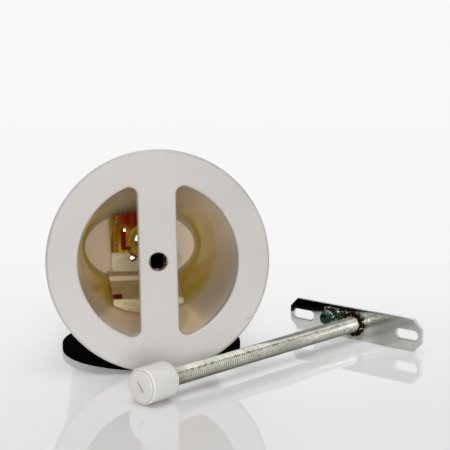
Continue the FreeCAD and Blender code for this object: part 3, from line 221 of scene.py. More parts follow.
soft_light("light_above", (0.0, -0.10, 1.05), width=0.9, depth=0.9, watts=6.6, target=(0.0, 0.0, 0.03))
soft_light("light_front", (0.70, -0.67, 0.20), width=0.30, depth=0.30, watts=5.0)
soft_light("light_left", (-0.45, -1.00, 0.55), width=0.5, depth=0.7, watts=0.4)
soft_light("light_right", (1.0, 0.1, 0.5), width=0.5, depth=0.7, watts=0.2)
light_back = soft_light("light_back", (-0.75, 0.75, 0.60), width=0.6, depth=0.6, watts=3.0)
light_back.visible_glossy = False


# ------------------------------------------------------------------ porcelain bell
# Slip-cast electrical porcelain under a clear glaze: a bell with a flat ceiling
# face, two wiring openings and a bar between them. It leans on its disc and rim.

mounts = {mount["name"]: mount for mount in frame["record"]["mounts"]}
outward = Vector(mounts["ceiling_face"]["axis"]).normalized()
on_face = Vector(mounts["ceiling_face"]["pos_m"])
bar_up = on_face - Vector(mounts["rod_passage"]["pos_m"])
bar_up = (bar_up - outward * bar_up.dot(outward)).normalized()
side = bar_up.cross(outward).normalized()
bell_axes = Matrix((side, bar_up, outward)).transposed()
mount_above_middle = 0.044
face_middle = on_face - bar_up * mount_above_middle


def in_bell(x, y, z):
    """A point of the bell in millimetres from its face: across the bar, up it, outward."""
    return face_middle + (side * x + bar_up * y + outward * z) * 0.001


def shader_group(name, inputs, outputs):
    """A node group with float inputs and the given outputs, and its two end nodes."""
    group = bpy.data.node_groups.new(name, "ShaderNodeTree")
    for label, value in inputs:
        socket = group.interface.new_socket(name=label, in_out="INPUT", socket_type="NodeSocketFloat")
        socket.default_value = value
    for label in outputs:
        group.interface.new_socket(name=label, in_out="OUTPUT", socket_type="NodeSocketFloat")
    return group, group.nodes.new("NodeGroupInput"), group.nodes.new("NodeGroupOutput")


def placed(tree, group, **values):
    """The group as a node of a material, with the values of this material."""
    node = tree.nodes.new("ShaderNodeGroup")
    node.node_tree = group
    for key, value in values.items():
        node.inputs[key.replace("_", " ")].default_value = value
    return node.outputs


# cloudy tone and fine grain at a size in repeats per metre
mottle, ends, result = shader_group("mottle", [("Size", 60.0), ("Grain size", 900.0)], ["Cloud", "Grain"])
place = add(mottle, "TexCoord").outputs["Object"]
for tone, size, detail, roughness in (("Cloud", "Size", 5.0, 0.55), ("Grain", "Grain size", 3.0, 0.6)):
    texture = add(mottle, "TexNoise", {"Vector": place, "Scale": ends.outputs[size]}, Detail=detail,
                  Roughness=roughness)
    mottle.links.new(texture.outputs["Fac"], result.inputs[tone])

# rubbed edges: where the surface turns sharply within a radius, broken up by noise
edge_rub, ends, result = shader_group("edge_rub", [("Radius", 0.0006), ("Breakup size", 500.0)], ["Edge"])
rounded = add(edge_rub, "Bevel", {"Radius": ends.outputs["Radius"]}, samples=4)
facing = add(edge_rub, "NewGeometry").outputs["Normal"]
turned = add(edge_rub, "VectorMath", {0: rounded.outputs[0], 1: facing}, operation="DOT_PRODUCT")
patchy = add(edge_rub, "TexNoise", {"Vector": add(edge_rub, "TexCoord").outputs["Object"],
                                    "Scale": ends.outputs["Breakup size"]}, Detail=3.0)
sharp = spread(edge_rub, turned.outputs["Value"], 0.99, 0.80)
kept = both(edge_rub, sharp, spread(edge_rub, patchy.outputs["Fac"], 0.35, 0.62))
edge_rub.links.new(kept, result.inputs["Edge"])

# patches on whatever faces up: settled dust on most pieces, painted shade on the steatite
dust_and_shade_group, ends, result = shader_group("dust_and_top_shade", [("Amount", 0.3), ("Patch size", 120.0)], ["Dust"])
level = add(dust_and_shade_group, "SeparateXYZ", {0: add(dust_and_shade_group, "NewGeometry").outputs["Normal"]}).outputs["Z"]
patches = add(dust_and_shade_group, "TexNoise", {"Vector": add(dust_and_shade_group, "TexCoord").outputs["Object"],
                                    "Scale": ends.outputs["Patch size"]}, Detail=4.0, Roughness=0.65)
lying = both(dust_and_shade_group, spread(dust_and_shade_group, level, 0.35, 0.95), spread(dust_and_shade_group, patches.outputs["Fac"], 0.40, 0.75),
             ends.outputs["Amount"])
dust_and_shade_group.links.new(lying, result.inputs["Dust"])


def near_point(tree, point, inner, outer):
    """A mask that is 1 within a distance of a point and 0 beyond the outer one, in metres."""
    moved = add(tree, "VectorMath", {0: add(tree, "TexCoord").outputs["Object"]}, operation="DISTANCE")
    moved.inputs[1].default_value = point
    return spread(tree, moved.outputs["Value"], outer, inner)


def off_axis(tree, first, second):
    """How far a point lies from an axis, from how far it lies along two directions across it."""
    return sum_of(tree, "SQRT", sum_of(tree, "ADD", both(tree, first, first), both(tree, second, second)))


# greyish white glaze outside and on the rim with painted shade to the top, painted warm shade inside, painted
# black shade in the rod's hole with red clay at its lower right
porcelain, tree, shader = new_material("glazed_porcelain")
depth = along(tree, face_middle, outward)
across = along(tree, face_middle, side)
upward = along(tree, face_middle, bar_up)
radius = off_axis(tree, across, upward)
tones = placed(tree, mottle, Size=38.0, Grain_size=1300.0)
# painted shade: the glaze is painted darker towards the top of the bell and lighter towards the bottom
white = blend_colours(tree, spread(tree, upward, 0.020, -0.050), (0.415, 0.396, 0.370), (0.525, 0.503, 0.475))
white = blend_colours(tree, spread(tree, tones["Cloud"], 0.3, 0.7, 0.0, 0.35), white, (0.56, 0.54, 0.51))
inner = both(tree, spread(tree, depth, -0.0015, -0.010), spread(tree, radius, 0.0465, 0.0440))
# painted shade: inside the bell the white glaze is painted warm tan for the shade it lies in
inside_tint = blend_colours(tree, spread(tree, depth, -0.015, -0.045), (0.95, 0.86, 0.76), (0.95, 0.83, 0.68))
# painted shade: deep and low inside the bell the glaze is painted strong yellow
deep_low_shade = both(tree, spread(tree, depth, -0.052, -0.080), spread(tree, upward, 0.024, 0.004))
inside_tint = blend_colours(tree, deep_low_shade, inside_tint, (0.80, 0.60, 0.05))
# painted shade: the closed end is painted darker on its left than on its right
closed_end_shade = blend_colours(tree, spread(tree, across, -0.012, 0.022), (0.68, 0.57, 0.42), (0.84, 0.73, 0.58))
inside_tint = blend_colours(tree, spread(tree, depth, -0.112, -0.118), inside_tint, closed_end_shade)
streaks = spread(tree, noise(tree, 75.0, 6.0, 0.7), 0.50, 0.72, 0.0, 0.4)
inside_tint = blend_colours(tree, streaks, inside_tint, (0.86, 0.67, 0.26))
# walls whose normal turns away from the bell's axis, and the far end, are its outside
normal = add(tree, "NewGeometry").outputs["Normal"]
from_face = add(tree, "VectorMath", {0: add(tree, "TexCoord").outputs["Object"]}, operation="SUBTRACT")
from_face.inputs[1].default_value = face_middle
facing_out = add(tree, "VectorMath", {0: normal, 1: from_face.outputs[0]}, operation="DOT_PRODUCT")
to_mouth = add(tree, "VectorMath", {0: normal}, operation="DOT_PRODUCT")
to_mouth.inputs[1].default_value = outward
away = sum_of(tree, "SUBTRACT", facing_out.outputs["Value"], both(tree, depth, to_mouth.outputs["Value"]))
shell = both(tree, spread(tree, away, 0.010, 0.020), spread(tree, depth, -0.012, -0.014))
end_wall = both(tree, spread(tree, to_mouth.outputs["Value"], -0.3, -0.6),
                spread(tree, depth, -0.100, -0.110))
outside = sum_of(tree, "MAXIMUM", shell, end_wall)
inner = both(tree, inner, sum_of(tree, "SUBTRACT", 1.0, outside))
body = blend_colours(tree, inner, white, inside_tint)
# painted shade: the rod's hole is painted near black, with red clay colour at its lower right
bore_wall = both(tree, spread(tree, radius, 0.0050, 0.0046), spread(tree, depth, -0.0007, -0.0012),
                 spread(tree, depth, -0.0095, -0.0085))
low_right = spread(tree, sum_of(tree, "SUBTRACT", across, upward), 0.0012, 0.0036)
bore_shade_and_clay = blend_colours(tree, low_right, (0.010, 0.006, 0.004), (0.42, 0.060, 0.006))
body = blend_colours(tree, bore_wall, body, bore_shade_and_clay)
iron_spots = sum_of(tree, "MAXIMUM", near_point(tree, in_bell(41.0, -28.1, 0.0), 0.0004, 0.0011),
                    near_point(tree, in_bell(-38.1, -4.8, 0.0), 0.0002, 0.0006))
broken = spread(tree, tones["Grain"], 0.40, 0.55)
body = blend_colours(tree, both(tree, iron_spots, broken), body, (0.48, 0.20, 0.13))
glaze_edge = placed(tree, edge_rub, Radius=0.0009, Breakup_size=40.0)["Edge"]
body = blend_colours(tree, both(tree, glaze_edge, spread(tree, depth, -0.006, -0.001, 0.0, 0.8)), body,
                     (0.66, 0.64, 0.61))
dust_and_shade = placed(tree, dust_and_shade_group, Amount=0.22, Patch_size=60.0)["Dust"]
tree.links.new(blend_colours(tree, dust_and_shade, body, (0.50, 0.48, 0.45)), shader.inputs["Base Color"])
ground = spread(tree, depth, -0.0012, -0.0002)
glossy = sum_of(tree, "ADD", spread(tree, ground, 0.0, 1.0, 0.16, 0.42),
                spread(tree, tones["Cloud"], 0.3, 0.7, 0.0, 0.05))
unglazed = both(tree, inner, spread(tree, depth, -0.100, -0.112), 0.85)
tree.links.new(sum_of(tree, "MAXIMUM", glossy, unglazed), shader.inputs["Roughness"])
peel = add(tree, "Bump", {"Height": tones["Grain"]}, Strength=0.12, Distance=0.0002)
tree.links.new(peel.outputs[0], shader.inputs["Normal"])
shader.inputs["IOR"].default_value = 1.5


def finish_node(node, material):
    """The CAD node keeps its shape and takes a finish."""
    data = frame["nodes"][node].data
    data.materials.clear()
    data.materials.append(material)


finish_node("ceramic_housing", porcelain)


# ------------------------------------------------------------------ sealing disc
# Die-cut disc of black cellular rubber with a hole for the rod, laid between
# the bell and the ceiling. Its cut edge is slightly rounded.

def piece_of(name, mesh, material, body, smooth_angle=35.0):
    """Makes the finished mesh an object that rides its body."""
    bmesh.ops.remove_doubles(mesh, verts=mesh.verts, dist=1e-7)
    bmesh.ops.recalc_face_normals(mesh, faces=mesh.faces)
    data = bpy.data.meshes.new(name)
    mesh.to_mesh(data)
    mesh.free()
    data.materials.append(material)
    data.shade_smooth()
    data.set_sharp_from_angle(angle=math.radians(smooth_angle))
    piece = bpy.data.objects.new(name, data)
    bpy.context.scene.collection.objects.link(piece)
    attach(piece, body)
    return piece


def turned_shape(profile, steps, closed=False):
    """A ring or knob turned about the Z axis from (radius, height) points in millimetres."""
    mesh = bmesh.new()
    points = [mesh.verts.new((r * 0.001, 0.0, z * 0.001)) for r, z in profile]
    edges = [mesh.edges.new(pair) for pair in zip(points, points[1:])]
    if closed:
        edges.append(mesh.edges.new((points[-1], points[0])))
    bmesh.ops.spin(mesh, geom=points + edges, cent=(0, 0, 0), axis=(0, 0, 1), angle=math.tau,
                   steps=steps, use_merge=True, use_duplicate=False)
    bmesh.ops.remove_doubles(mesh, verts=mesh.verts, dist=1e-7)
    return mesh


def corner_arc(r, z, radius, start, end, steps=4):
    """Points of a rounded corner in a turned profile, angles in degrees from +r towards +z."""
    angles = [math.radians(start + (end - start) * step / steps) for step in range(steps + 1)]
    return [(r + radius * math.cos(angle), z + radius * math.sin(angle)) for angle in angles]


def clouded(tree, tones, first, second):
    """A colour that drifts between two in soft clouds."""
    return blend_colours(tree, spread(tree, tones["Cloud"], 0.3, 0.7), first, second)


def grained(tree, tones, low, high):
    """A value that varies from low to high with the fine grain."""
    return spread(tree, tones["Grain"], 0.3, 0.7, low, high)


rubber, tree, shader = new_material("black_rubber")
tones = placed(tree, mottle, Size=55.0, Grain_size=2600.0)
black = clouded(tree, tones, (0.0006, 0.0006, 0.0007), (0.0018, 0.0018, 0.002))
scuffed = placed(tree, edge_rub, Radius=0.0005, Breakup_size=700.0)["Edge"]
black = blend_colours(tree, both(tree, scuffed, 0.05), black, (0.006, 0.006, 0.006))
dust_and_shade = placed(tree, dust_and_shade_group, Amount=0.012, Patch_size=90.0)["Dust"]
tree.links.new(blend_colours(tree, dust_and_shade, black, (0.06, 0.057, 0.053)), shader.inputs["Base Color"])
tree.links.new(grained(tree, tones, 0.82, 0.95), shader.inputs["Roughness"])
cells = add(tree, "Bump", {"Height": tones["Grain"]}, Strength=0.35, Distance=0.0002)
tree.links.new(cells.outputs[0], shader.inputs["Normal"])
shader.inputs["Specular IOR Level"].default_value = 0.005

disc_hole = mounts["disc_hole"]
disc_low, disc_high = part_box("sealing_disc")
disc_outer = (disc_high.x - disc_low.x) * 500.0
disc_bore = disc_hole["dims"]["r_mm"]
disc_thick = (disc_high.z - disc_low.z) * 1000.0
disc_edge = 0.55
soft_disc = turned_shape(
    corner_arc(disc_outer - disc_edge, disc_edge, disc_edge, -90, 0)
    + corner_arc(disc_outer - disc_edge, disc_thick - disc_edge, disc_edge, 0, 90)
    + corner_arc(disc_bore + disc_edge * 0.5, disc_thick - disc_edge * 0.5, disc_edge * 0.5, 90, 180)
    + corner_arc(disc_bore + disc_edge * 0.5, disc_edge * 0.5, disc_edge * 0.5, 180, 270), 144, closed=True)
disc_place = Vector((*disc_hole["pos_m"][:2], disc_low.z))
bmesh.ops.translate(soft_disc, verts=soft_disc.verts, vec=disc_place)
seal = piece_of("soft_sealing_disc", soft_disc, rubber, "switch_frame")
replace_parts(seal, "sealing_disc")


# ------------------------------------------------------------------ steatite base
# The insert's base is pressed steatite: a slab with four posts and a stepped
# shelf for the terminals. Its left posts end in spigots that hold the cover.

def softened(tree, shader, height, strength, distance, radius):
    """Surface relief on top of edges that the light reads as rounded."""
    edges = add(tree, "Bevel", Radius=radius, samples=4)
    relief = add(tree, "Bump", {"Height": height, "Normal": edges.outputs[0]}, Strength=strength,
                 Distance=distance)
    tree.links.new(relief.outputs[0], shader.inputs["Normal"])


steatite, tree, shader = new_material("pressed_steatite")
tones = placed(tree, mottle, Size=70.0, Grain_size=1500.0)
stone = clouded(tree, tones, (0.60, 0.47, 0.26), (0.72, 0.58, 0.36))
folds = add(tree, "Mapping", {"Vector": add(tree, "TexCoord").outputs["Object"]})
folds.inputs["Scale"].default_value = (1.0, 1.0, 4.0)
creases = add(tree, "TexNoise", {"Vector": folds.outputs[0]}, Scale=60.0, Detail=5.0, Roughness=0.7)
creased = spread(tree, creases.outputs["Fac"], 0.50, 0.66, 0.0, 0.7)
stone = blend_colours(tree, creased, stone, (0.40, 0.28, 0.07))
rub = placed(tree, edge_rub, Radius=0.0006, Breakup_size=400.0)["Edge"]
stone = blend_colours(tree, both(tree, rub, 0.5), stone, (0.74, 0.67, 0.55))
# painted shade: the steatite's upward faces are painted darker brown
dust_and_shade = placed(tree, dust_and_shade_group, Amount=1.0, Patch_size=30.0)["Dust"]
stone = blend_colours(tree, dust_and_shade, stone, (0.42, 0.33, 0.16))
# painted shade: the two spigot ends are painted dark brown
low_spigot, high_spigot = (near_point(tree, in_bell(-13.9, y, -100.7), 0.0016, 0.0018) for y in (-1.5, 10.2))
spigot_shade = sum_of(tree, "MAXIMUM", low_spigot, high_spigot)
stone = blend_colours(tree, spigot_shade, stone, (0.15, 0.09, 0.010))
# painted shade: the steatite round the cord bush is painted near black
bush_shade = near_point(tree, in_bell(12.2, -12.6, -118.0), 0.0055, 0.0080)
tree.links.new(blend_colours(tree, bush_shade, stone, (0.004, 0.003, 0.002)), shader.inputs["Base Color"])
tree.links.new(grained(tree, tones, 0.25, 0.42), shader.inputs["Roughness"])
softened(tree, shader, creases.outputs["Fac"], strength=0.5, distance=0.0012, radius=0.0015)
finish_node("insert_base", steatite)


# ------------------------------------------------------------------ moulded switch parts
# Cover plate, contact drum, cord bush and cord guide are moulded phenolic with
# flow lines. The plate has a burnt patch, and the bush has cement on one side.

def moulding(name, dark, light, stretch, patch=None, specular=0.2):
    """Moulded phenolic with flow lines drawn out across, up and along the bell, and a patch of one tint."""
    material, tree, shader = new_material(name)
    turned = add(tree, "Mapping", {"Vector": add(tree, "TexCoord").outputs["Object"]}, vector_type="TEXTURE")
    turned.inputs["Rotation"].default_value = bell_axes.to_euler()
    turned.inputs["Scale"].default_value = stretch
    lines = add(tree, "TexNoise", {"Vector": turned.outputs[0]}, Scale=420.0, Detail=4.0, Roughness=0.6)
    tones = placed(tree, mottle, Size=90.0, Grain_size=1400.0)
    colour = blend_colours(tree, spread(tree, lines.outputs["Fac"], 0.40, 0.60), dark, light)
    if patch:
        middle, reach, tint = patch
        edge = both(tree, near_point(tree, middle, reach * 0.55, reach),
                    spread(tree, lines.outputs["Fac"], 0.35, 0.55, 0.55, 1.0))
        colour = blend_colours(tree, edge, colour, tint)
    rub = placed(tree, edge_rub, Radius=0.0004, Breakup_size=600.0)["Edge"]
    colour = blend_colours(tree, both(tree, rub, 0.25), colour, tuple(min(1, c * 1.5) for c in light))
    tree.links.new(colour, shader.inputs["Base Color"])
    tree.links.new(grained(tree, tones, 0.36, 0.52), shader.inputs["Roughness"])
    shader.inputs["Specular IOR Level"].default_value = specular
    softened(tree, shader, tones["Grain"], strength=0.15, distance=0.0001, radius=0.0003)
    return material


burnt_patch = (in_bell(-4.5, 14.0, -100.6), 0.0105, (0.20, 0.001, 0.001))
cement = (in_bell(22.5, -13.0, -113.0), 0.0085, (0.70, 0.61, 0.46))
blacks = ((0.0008, 0.0008, 0.0008), (0.002, 0.002, 0.002))
finish_node("cover_plate", moulding("brown_phenolic", (0.20, 0.070, 0.001), (0.60, 0.35, 0.003),
                                    (0.55, 7.0, 4.0), burnt_patch, specular=0.03))
finish_node("contact_drum", moulding("brown_drum", (0.40, 0.25, 0.012), (0.56, 0.38, 0.04),
                                     (1.0, 6.0, 1.0), specular=0.05))
finish_node("cord_guide", moulding("black_phenolic", *blacks, (1.0, 4.0, 1.0), specular=0.005))
finish_node("cord_bush", moulding("cemented_bush", *blacks, (1.0, 4.0, 1.0), cement, specular=0.02))


# ------------------------------------------------------------------ metals of the switch
# Punched copper contacts, brass terminals, a hub and cover screws of darkened
# brass, nickelled rivets, and a zinc-plated lever and ratchet with their springs.

def worked_metal(name, dull, bright, stain, rough, rub_gain=0.6, stain_from=0.55, below_axis_colour=None,
                 metallic=1.0, specular=0.5):
    """Plated or bare metal: cloudy, stained and rubbed at its edges, and given another colour below the
    switch's axis.
    """
    material, tree, shader = new_material(name)
    tones = placed(tree, mottle, Size=110.0, Grain_size=2200.0)
    colour = blend_colours(tree, spread(tree, tones["Cloud"], 0.32, 0.68), dull, bright)
    tint_mask = spread(tree, noise(tree, 363.0, 5.0, 0.7), stain_from, stain_from + 0.14)
    colour = blend_colours(tree, both(tree, tint_mask, 0.7), colour, stain)
    rub = placed(tree, edge_rub, Radius=0.0003, Breakup_size=900.0)["Edge"]
    edge = tuple(min(1.0, c * 1.3) for c in bright)
    colour = blend_colours(tree, both(tree, rub, rub_gain), colour, edge)
    # below the switch's axis the metal takes another colour, darker on the nickel
    if below_axis_colour:
        below_axis = spread(tree, along(tree, face_middle, bar_up), 0.001, -0.002)
        colour = blend_colours(tree, below_axis, colour, below_axis_colour)
    tree.links.new(colour, shader.inputs["Base Color"])
    tree.links.new(sum_of(tree, "ADD", grained(tree, tones, rough, rough + 0.12),
                          spread(tree, tint_mask, 0.0, 1.0, 0.0, 0.15)), shader.inputs["Roughness"])
    shader.inputs["Metallic"].default_value = metallic
    shader.inputs["Specular IOR Level"].default_value = specular
    softened(tree, shader, tones["Grain"], strength=0.12, distance=0.0001, radius=0.00015)
    return material


# partly painted shade: the copper is painted a very dark red, for its tarnish and for the shade it lies in
copper = worked_metal("tarnished_shaded_copper", (0.11, 0.002, 0.001), (0.17, 0.003, 0.001), (0.05, 0.002, 0.001),
                      rough=0.45, rub_gain=0.2, metallic=0.1, specular=0.05)
brass = worked_metal("turned_brass", (0.52, 0.36, 0.13), (0.74, 0.56, 0.26), (0.30, 0.19, 0.07), rough=0.26)
old_brass = worked_metal("darkened_brass", (0.28, 0.17, 0.012), (0.42, 0.26, 0.03), (0.16, 0.08, 0.01),
                         rough=0.60, rub_gain=0.2, metallic=0.1, specular=0.05)
nickel = worked_metal("nickel_plate", (0.72, 0.70, 0.66), (0.88, 0.87, 0.84), (0.50, 0.46, 0.38), rough=0.10,
                      below_axis_colour=(0.12, 0.02, 0.01))
zinc = worked_metal("zinc_plated_steel", (0.42, 0.43, 0.42), (0.66, 0.67, 0.66), (0.33, 0.30, 0.22),
                    rough=0.26)
spring_wire = worked_metal("spring_wire", (0.10, 0.08, 0.05), (0.24, 0.20, 0.14), (0.08, 0.06, 0.04),
                           rough=0.34)
for node in ("contact_strip_left", "contact_strip_right", "moving_contact", "loop_terminal"):
    finish_node(node, copper)
for node in ("terminal_line", "terminal_load", "cord_eyelet", "cap_insert"):
    finish_node(node, brass)
for node in ("hub_sleeve", "hub_nut", "hub_clip", "cover_screws"):
    finish_node(node, old_brass)
finish_node("strip_rivets", nickel)
for node in ("terminal_screws", "pull_lever", "ratchet_wheel", "pawl", "pawl_pin", "cap_washer"):
    finish_node(node, zinc)
for node in ("return_spring", "pawl_spring"):
    finish_node(node, spring_wire)


# ------------------------------------------------------------------ base screws
# Two nickelled screws with domed, slotted heads hold the steatite base in the
# closed end of the bell. The lower one catches the light below the cover plate.

def driver_slot(mesh, level, length, width, turn, depth):
    """Cuts a slot down into the flat top of a turned shape; sizes in millimetres."""
    across = Vector((math.cos(math.radians(turn)), math.sin(math.radians(turn)), 0.0))
    beside = Vector((-across.y, across.x, 0.0))
    level *= 0.001

    def on_top():
        return [face for face in mesh.faces if all(abs(v.co.z - level) < 1e-6 for v in face.verts)]

    for normal, reach in ((across, length), (beside, width)):
        for sign in (-1, 1):
            faces = on_top()
            edges = {edge for face in faces for edge in face.edges}
            verts = {vert for face in faces for vert in face.verts}
            bmesh.ops.bisect_plane(mesh, geom=[*faces, *edges, *verts], dist=1e-8,
                                   plane_co=normal * (sign * reach * 0.0005), plane_no=normal)
    floor = min(on_top(), key=lambda face: face.calc_center_median().xy.length)
    pushed = bmesh.ops.extrude_face_region(mesh, geom=[floor])
    bmesh.ops.translate(mesh, verts=[item for item in pushed["geom"] if isinstance(item, bmesh.types.BMVert)],
                        vec=(0.0, 0.0, -depth * 0.001))
    if floor.is_valid:
        bmesh.ops.delete(mesh, geom=[floor], context="FACES_ONLY")


def closed_top(mesh, level):
    """Fills the open ring at a level with one flat face."""
    rim = [edge for edge in mesh.edges if edge.is_boundary
           and all(abs(v.co.z - level * 0.001) < 1e-6 for v in edge.verts)]
    bmesh.ops.contextual_create(mesh, geom=rim)


def joined(meshes):
    """Several shapes as one."""
    whole = bmesh.new()
    for mesh in meshes:
        part = bpy.data.meshes.new("part")
        mesh.to_mesh(part)
        mesh.free()
        whole.from_mesh(part)
        bpy.data.meshes.remove(part)
    return whole


seat_depth, head_top = -117.2, 1.4
base_screws = []
for x, y in ((10.6, -5.5), (-4.4, -11.2)):
    screw = turned_shape([(0.0, -9.8), (1.35, -9.6), (1.35, 0.0), (2.2, 0.0), (2.2, 0.35), (2.12, 0.65),
                          (1.92, 0.95), (1.62, 1.18), (1.25, 1.34), (1.0, head_top)], 40)
    closed_top(screw, head_top)
    driver_slot(screw, head_top, length=1.4, width=0.4, turn=25.0, depth=0.5)
    screw.transform(Matrix.Translation(in_bell(x, y, seat_depth)) @ bell_axes.to_4x4())
    base_screws.append(screw)
plated_screw = worked_metal("bright_nickel_screw", (0.80, 0.79, 0.76), (0.94, 0.93, 0.91), (0.60, 0.56, 0.46),
                            rough=0.06, stain_from=0.66)
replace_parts(piece_of("base_screw_heads", joined(base_screws), plated_screw, "switch_frame",
                     50.0), "base_screws")


# ------------------------------------------------------------------ ceiling bracket
# Strip of bright zinc-plated steel with cut corners, two slots and the holes
# of the rod and the earth screw. It stands on its long edge.

def rim_inset(loop, amount):
    """A closed 2-D loop moved to the left of its travel, corners mitred."""
    moved = []
    for before, here, after in zip(loop[-1:] + loop[:-1], loop, loop[1:] + loop[:1]):
        first = (Vector(here) - Vector(before)).normalized()
        second = (Vector(after) - Vector(here)).normalized()
        normal = Vector((-first.y - second.y, first.x + second.x)).normalized()
        moved.append(Vector(here) + normal * (amount / normal.dot(Vector((-first.y, first.x)))))
    return moved


def round_loop(x, z, radius, steps, length=0.0):
    """A hole, or a slot when it has a length, as a clockwise loop."""
    half = max(0.0, length / 2 - radius)
    points = []
    for step in range(steps):
        angle = -math.tau * (step + 0.5) / steps
        points.append((x + math.copysign(half, math.cos(angle)) + radius * math.cos(angle),
                       z + radius * math.sin(angle)))
    return points


def punched_plate(loops, thick, edge, spot):
    """A plate with holes and rounded rims from 2-D loops that keep the material on their left."""
    mesh = bmesh.new()
    flats = ([], [])
    soft = edge * 0.3
    levels = ((edge * 2, 0.0), (edge, 0.0), (soft, soft), (0.0, edge),
              (0.0, thick - edge), (soft, thick - soft), (edge, thick), (edge * 2, thick))
    for loop in loops:
        rows = [[mesh.verts.new(spot(*point, level)) for point in rim_inset(loop, inset)]
                for inset, level in levels]
        for lower, upper in zip(rows, rows[1:]):
            for index in range(len(loop)):
                after = (index + 1) % len(loop)
                mesh.faces.new((lower[index], lower[after], upper[after], upper[index]))
        for flat, row in zip(flats, (rows[0], rows[-1])):
            flat += [mesh.edges.get((row[index - 1], row[index])) for index in range(len(row))]
    for flat in flats:
        bmesh.ops.triangle_fill(mesh, edges=flat, use_beauty=True)
    return mesh


bracket = mounts["bracket_slots"]
bracket_low, bracket_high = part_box("bracket_plate")
hang = Vector((bracket["pos_m"][0], bracket_low.y, bracket["pos_m"][2]))


def on_bracket(x, z, depth):
    """A point of the bracket in millimetres: along it, up it, and back from its front face."""
    return hang + Vector((x, depth, z)) * 0.001


bracket_half = (bracket_high.x - bracket_low.x) * 500.0
bracket_side = (bracket_high.z - bracket_low.z) * 500.0
bracket_thick = (bracket_high.y - bracket_low.y) * 1000.0
cut_corner = 4.8
earth_x, earth_z = -12.4, 2.2
strip_outline = [
    (cut_corner - bracket_half, -bracket_side), (bracket_half - cut_corner, -bracket_side),
    (bracket_half, cut_corner - bracket_side), (bracket_half, bracket_side - cut_corner),
    (bracket_half - cut_corner, bracket_side), (cut_corner - bracket_half, bracket_side),
    (-bracket_half, bracket_side - cut_corner), (-bracket_half, cut_corner - bracket_side)]
slots = [round_loop(end * bracket["dims"]["spacing_x_mm"] / 2, 0.0, bracket["dims"]["hole_r_mm"], 32,
                    bracket["dims"]["slot_length_mm"]) for end in (-1, 1)]
rod_radius, earth_radius, clearance = 4.0, 2.0, 0.05
rod_hole = round_loop(0.0, 0.0, rod_radius + clearance, 48)
earth_hole = round_loop(earth_x, earth_z, earth_radius + clearance, 32)
rim_edge = 0.28
strip = punched_plate([strip_outline, *slots, rod_hole, earth_hole], bracket_thick, rim_edge, on_bracket)

mirror_zinc, tree, shader = new_material("bright_zinc_strip")
tones = placed(tree, mottle, Size=26.0, Grain_size=3200.0)
along_strip = along(tree, hang, (1.0, 0.0, 0.0))
plating = clouded(tree, tones, (0.68, 0.70, 0.67), (0.76, 0.77, 0.74))
# darker from 4 mm to 40 mm along the strip, right of the rod
darker_zone = both(tree, spread(tree, along_strip, 0.004, 0.018),
              spread(tree, along_strip, 0.040, 0.016, 0.40, 1.0), 0.62)
plating = blend_colours(tree, darker_zone, plating, (0.26, 0.27, 0.24))
across_strip = along(tree, hang, (0.0, 0.0, 1.0))
from_rod = off_axis(tree, along_strip, across_strip)
stains = spread(tree, noise(tree, 300.0, 4.0), 0.35, 0.6)
halo = both(tree, spread(tree, from_rod, 0.0105, 0.0062), stains, 0.8)
plating = blend_colours(tree, halo, plating, (0.20, 0.24, 0.05))
# painted reflection: a dark patch over the upper left of the strip's front face, below a thin light edge
# along its top
above_reflection_edge = along(tree, on_bracket(-bracket_half, -0.2, 0.0), (-0.150, 0.0, 0.989))
strip_dark_reflection = both(tree, spread(tree, above_reflection_edge, -0.0003, 0.0010), spread(tree, across_strip, 0.00790, 0.00765),
              spread(tree, along(tree, hang, (0.0, 1.0, 0.0)), 0.0010, 0.0004), 0.97)
plating = blend_colours(tree, strip_dark_reflection, plating, (0.010, 0.014, 0.012))
worn = placed(tree, edge_rub, Radius=0.0006, Breakup_size=350.0)["Edge"]
at_end = spread(tree, along_strip, 0.030, 0.037)
plating = blend_colours(tree, both(tree, worn, at_end, 0.9), plating, (0.20, 0.14, 0.02))
tree.links.new(plating, shader.inputs["Base Color"])
brushed = add(tree, "Mapping", {"Vector": add(tree, "TexCoord").outputs["Object"]})
brushed.inputs["Scale"].default_value = (0.06, 1.0, 1.0)
scratches = add(tree, "TexNoise", {"Vector": brushed.outputs[0]}, Scale=1800.0, Detail=2.0).outputs["Fac"]
tree.links.new(sum_of(tree, "ADD", spread(tree, tones["Cloud"], 0.3, 0.7, 0.10, 0.15),
                      spread(tree, scratches, 0.3, 0.7, 0.0, 0.05)), shader.inputs["Roughness"])
shader.inputs["Metallic"].default_value = 1.0
waves = add(tree, "Bump", {"Height": noise(tree, 35.0, 1.0)}, Strength=0.06, Distance=0.0006)
fine = add(tree, "Bump", {"Height": scratches, "Normal": waves.outputs[0]}, Strength=0.06, Distance=0.00005)
tree.links.new(fine.outputs[0], shader.inputs["Normal"])
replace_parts(piece_of("slotted_strip", strip, mirror_zinc, "switch_frame"), "bracket_plate")


# ------------------------------------------------------------------ threaded rod
# M8 rod, zinc plated, threaded over its whole length with a shallow root. It is
# riveted flush at the bracket's back, and its free end sits in the cap nut.

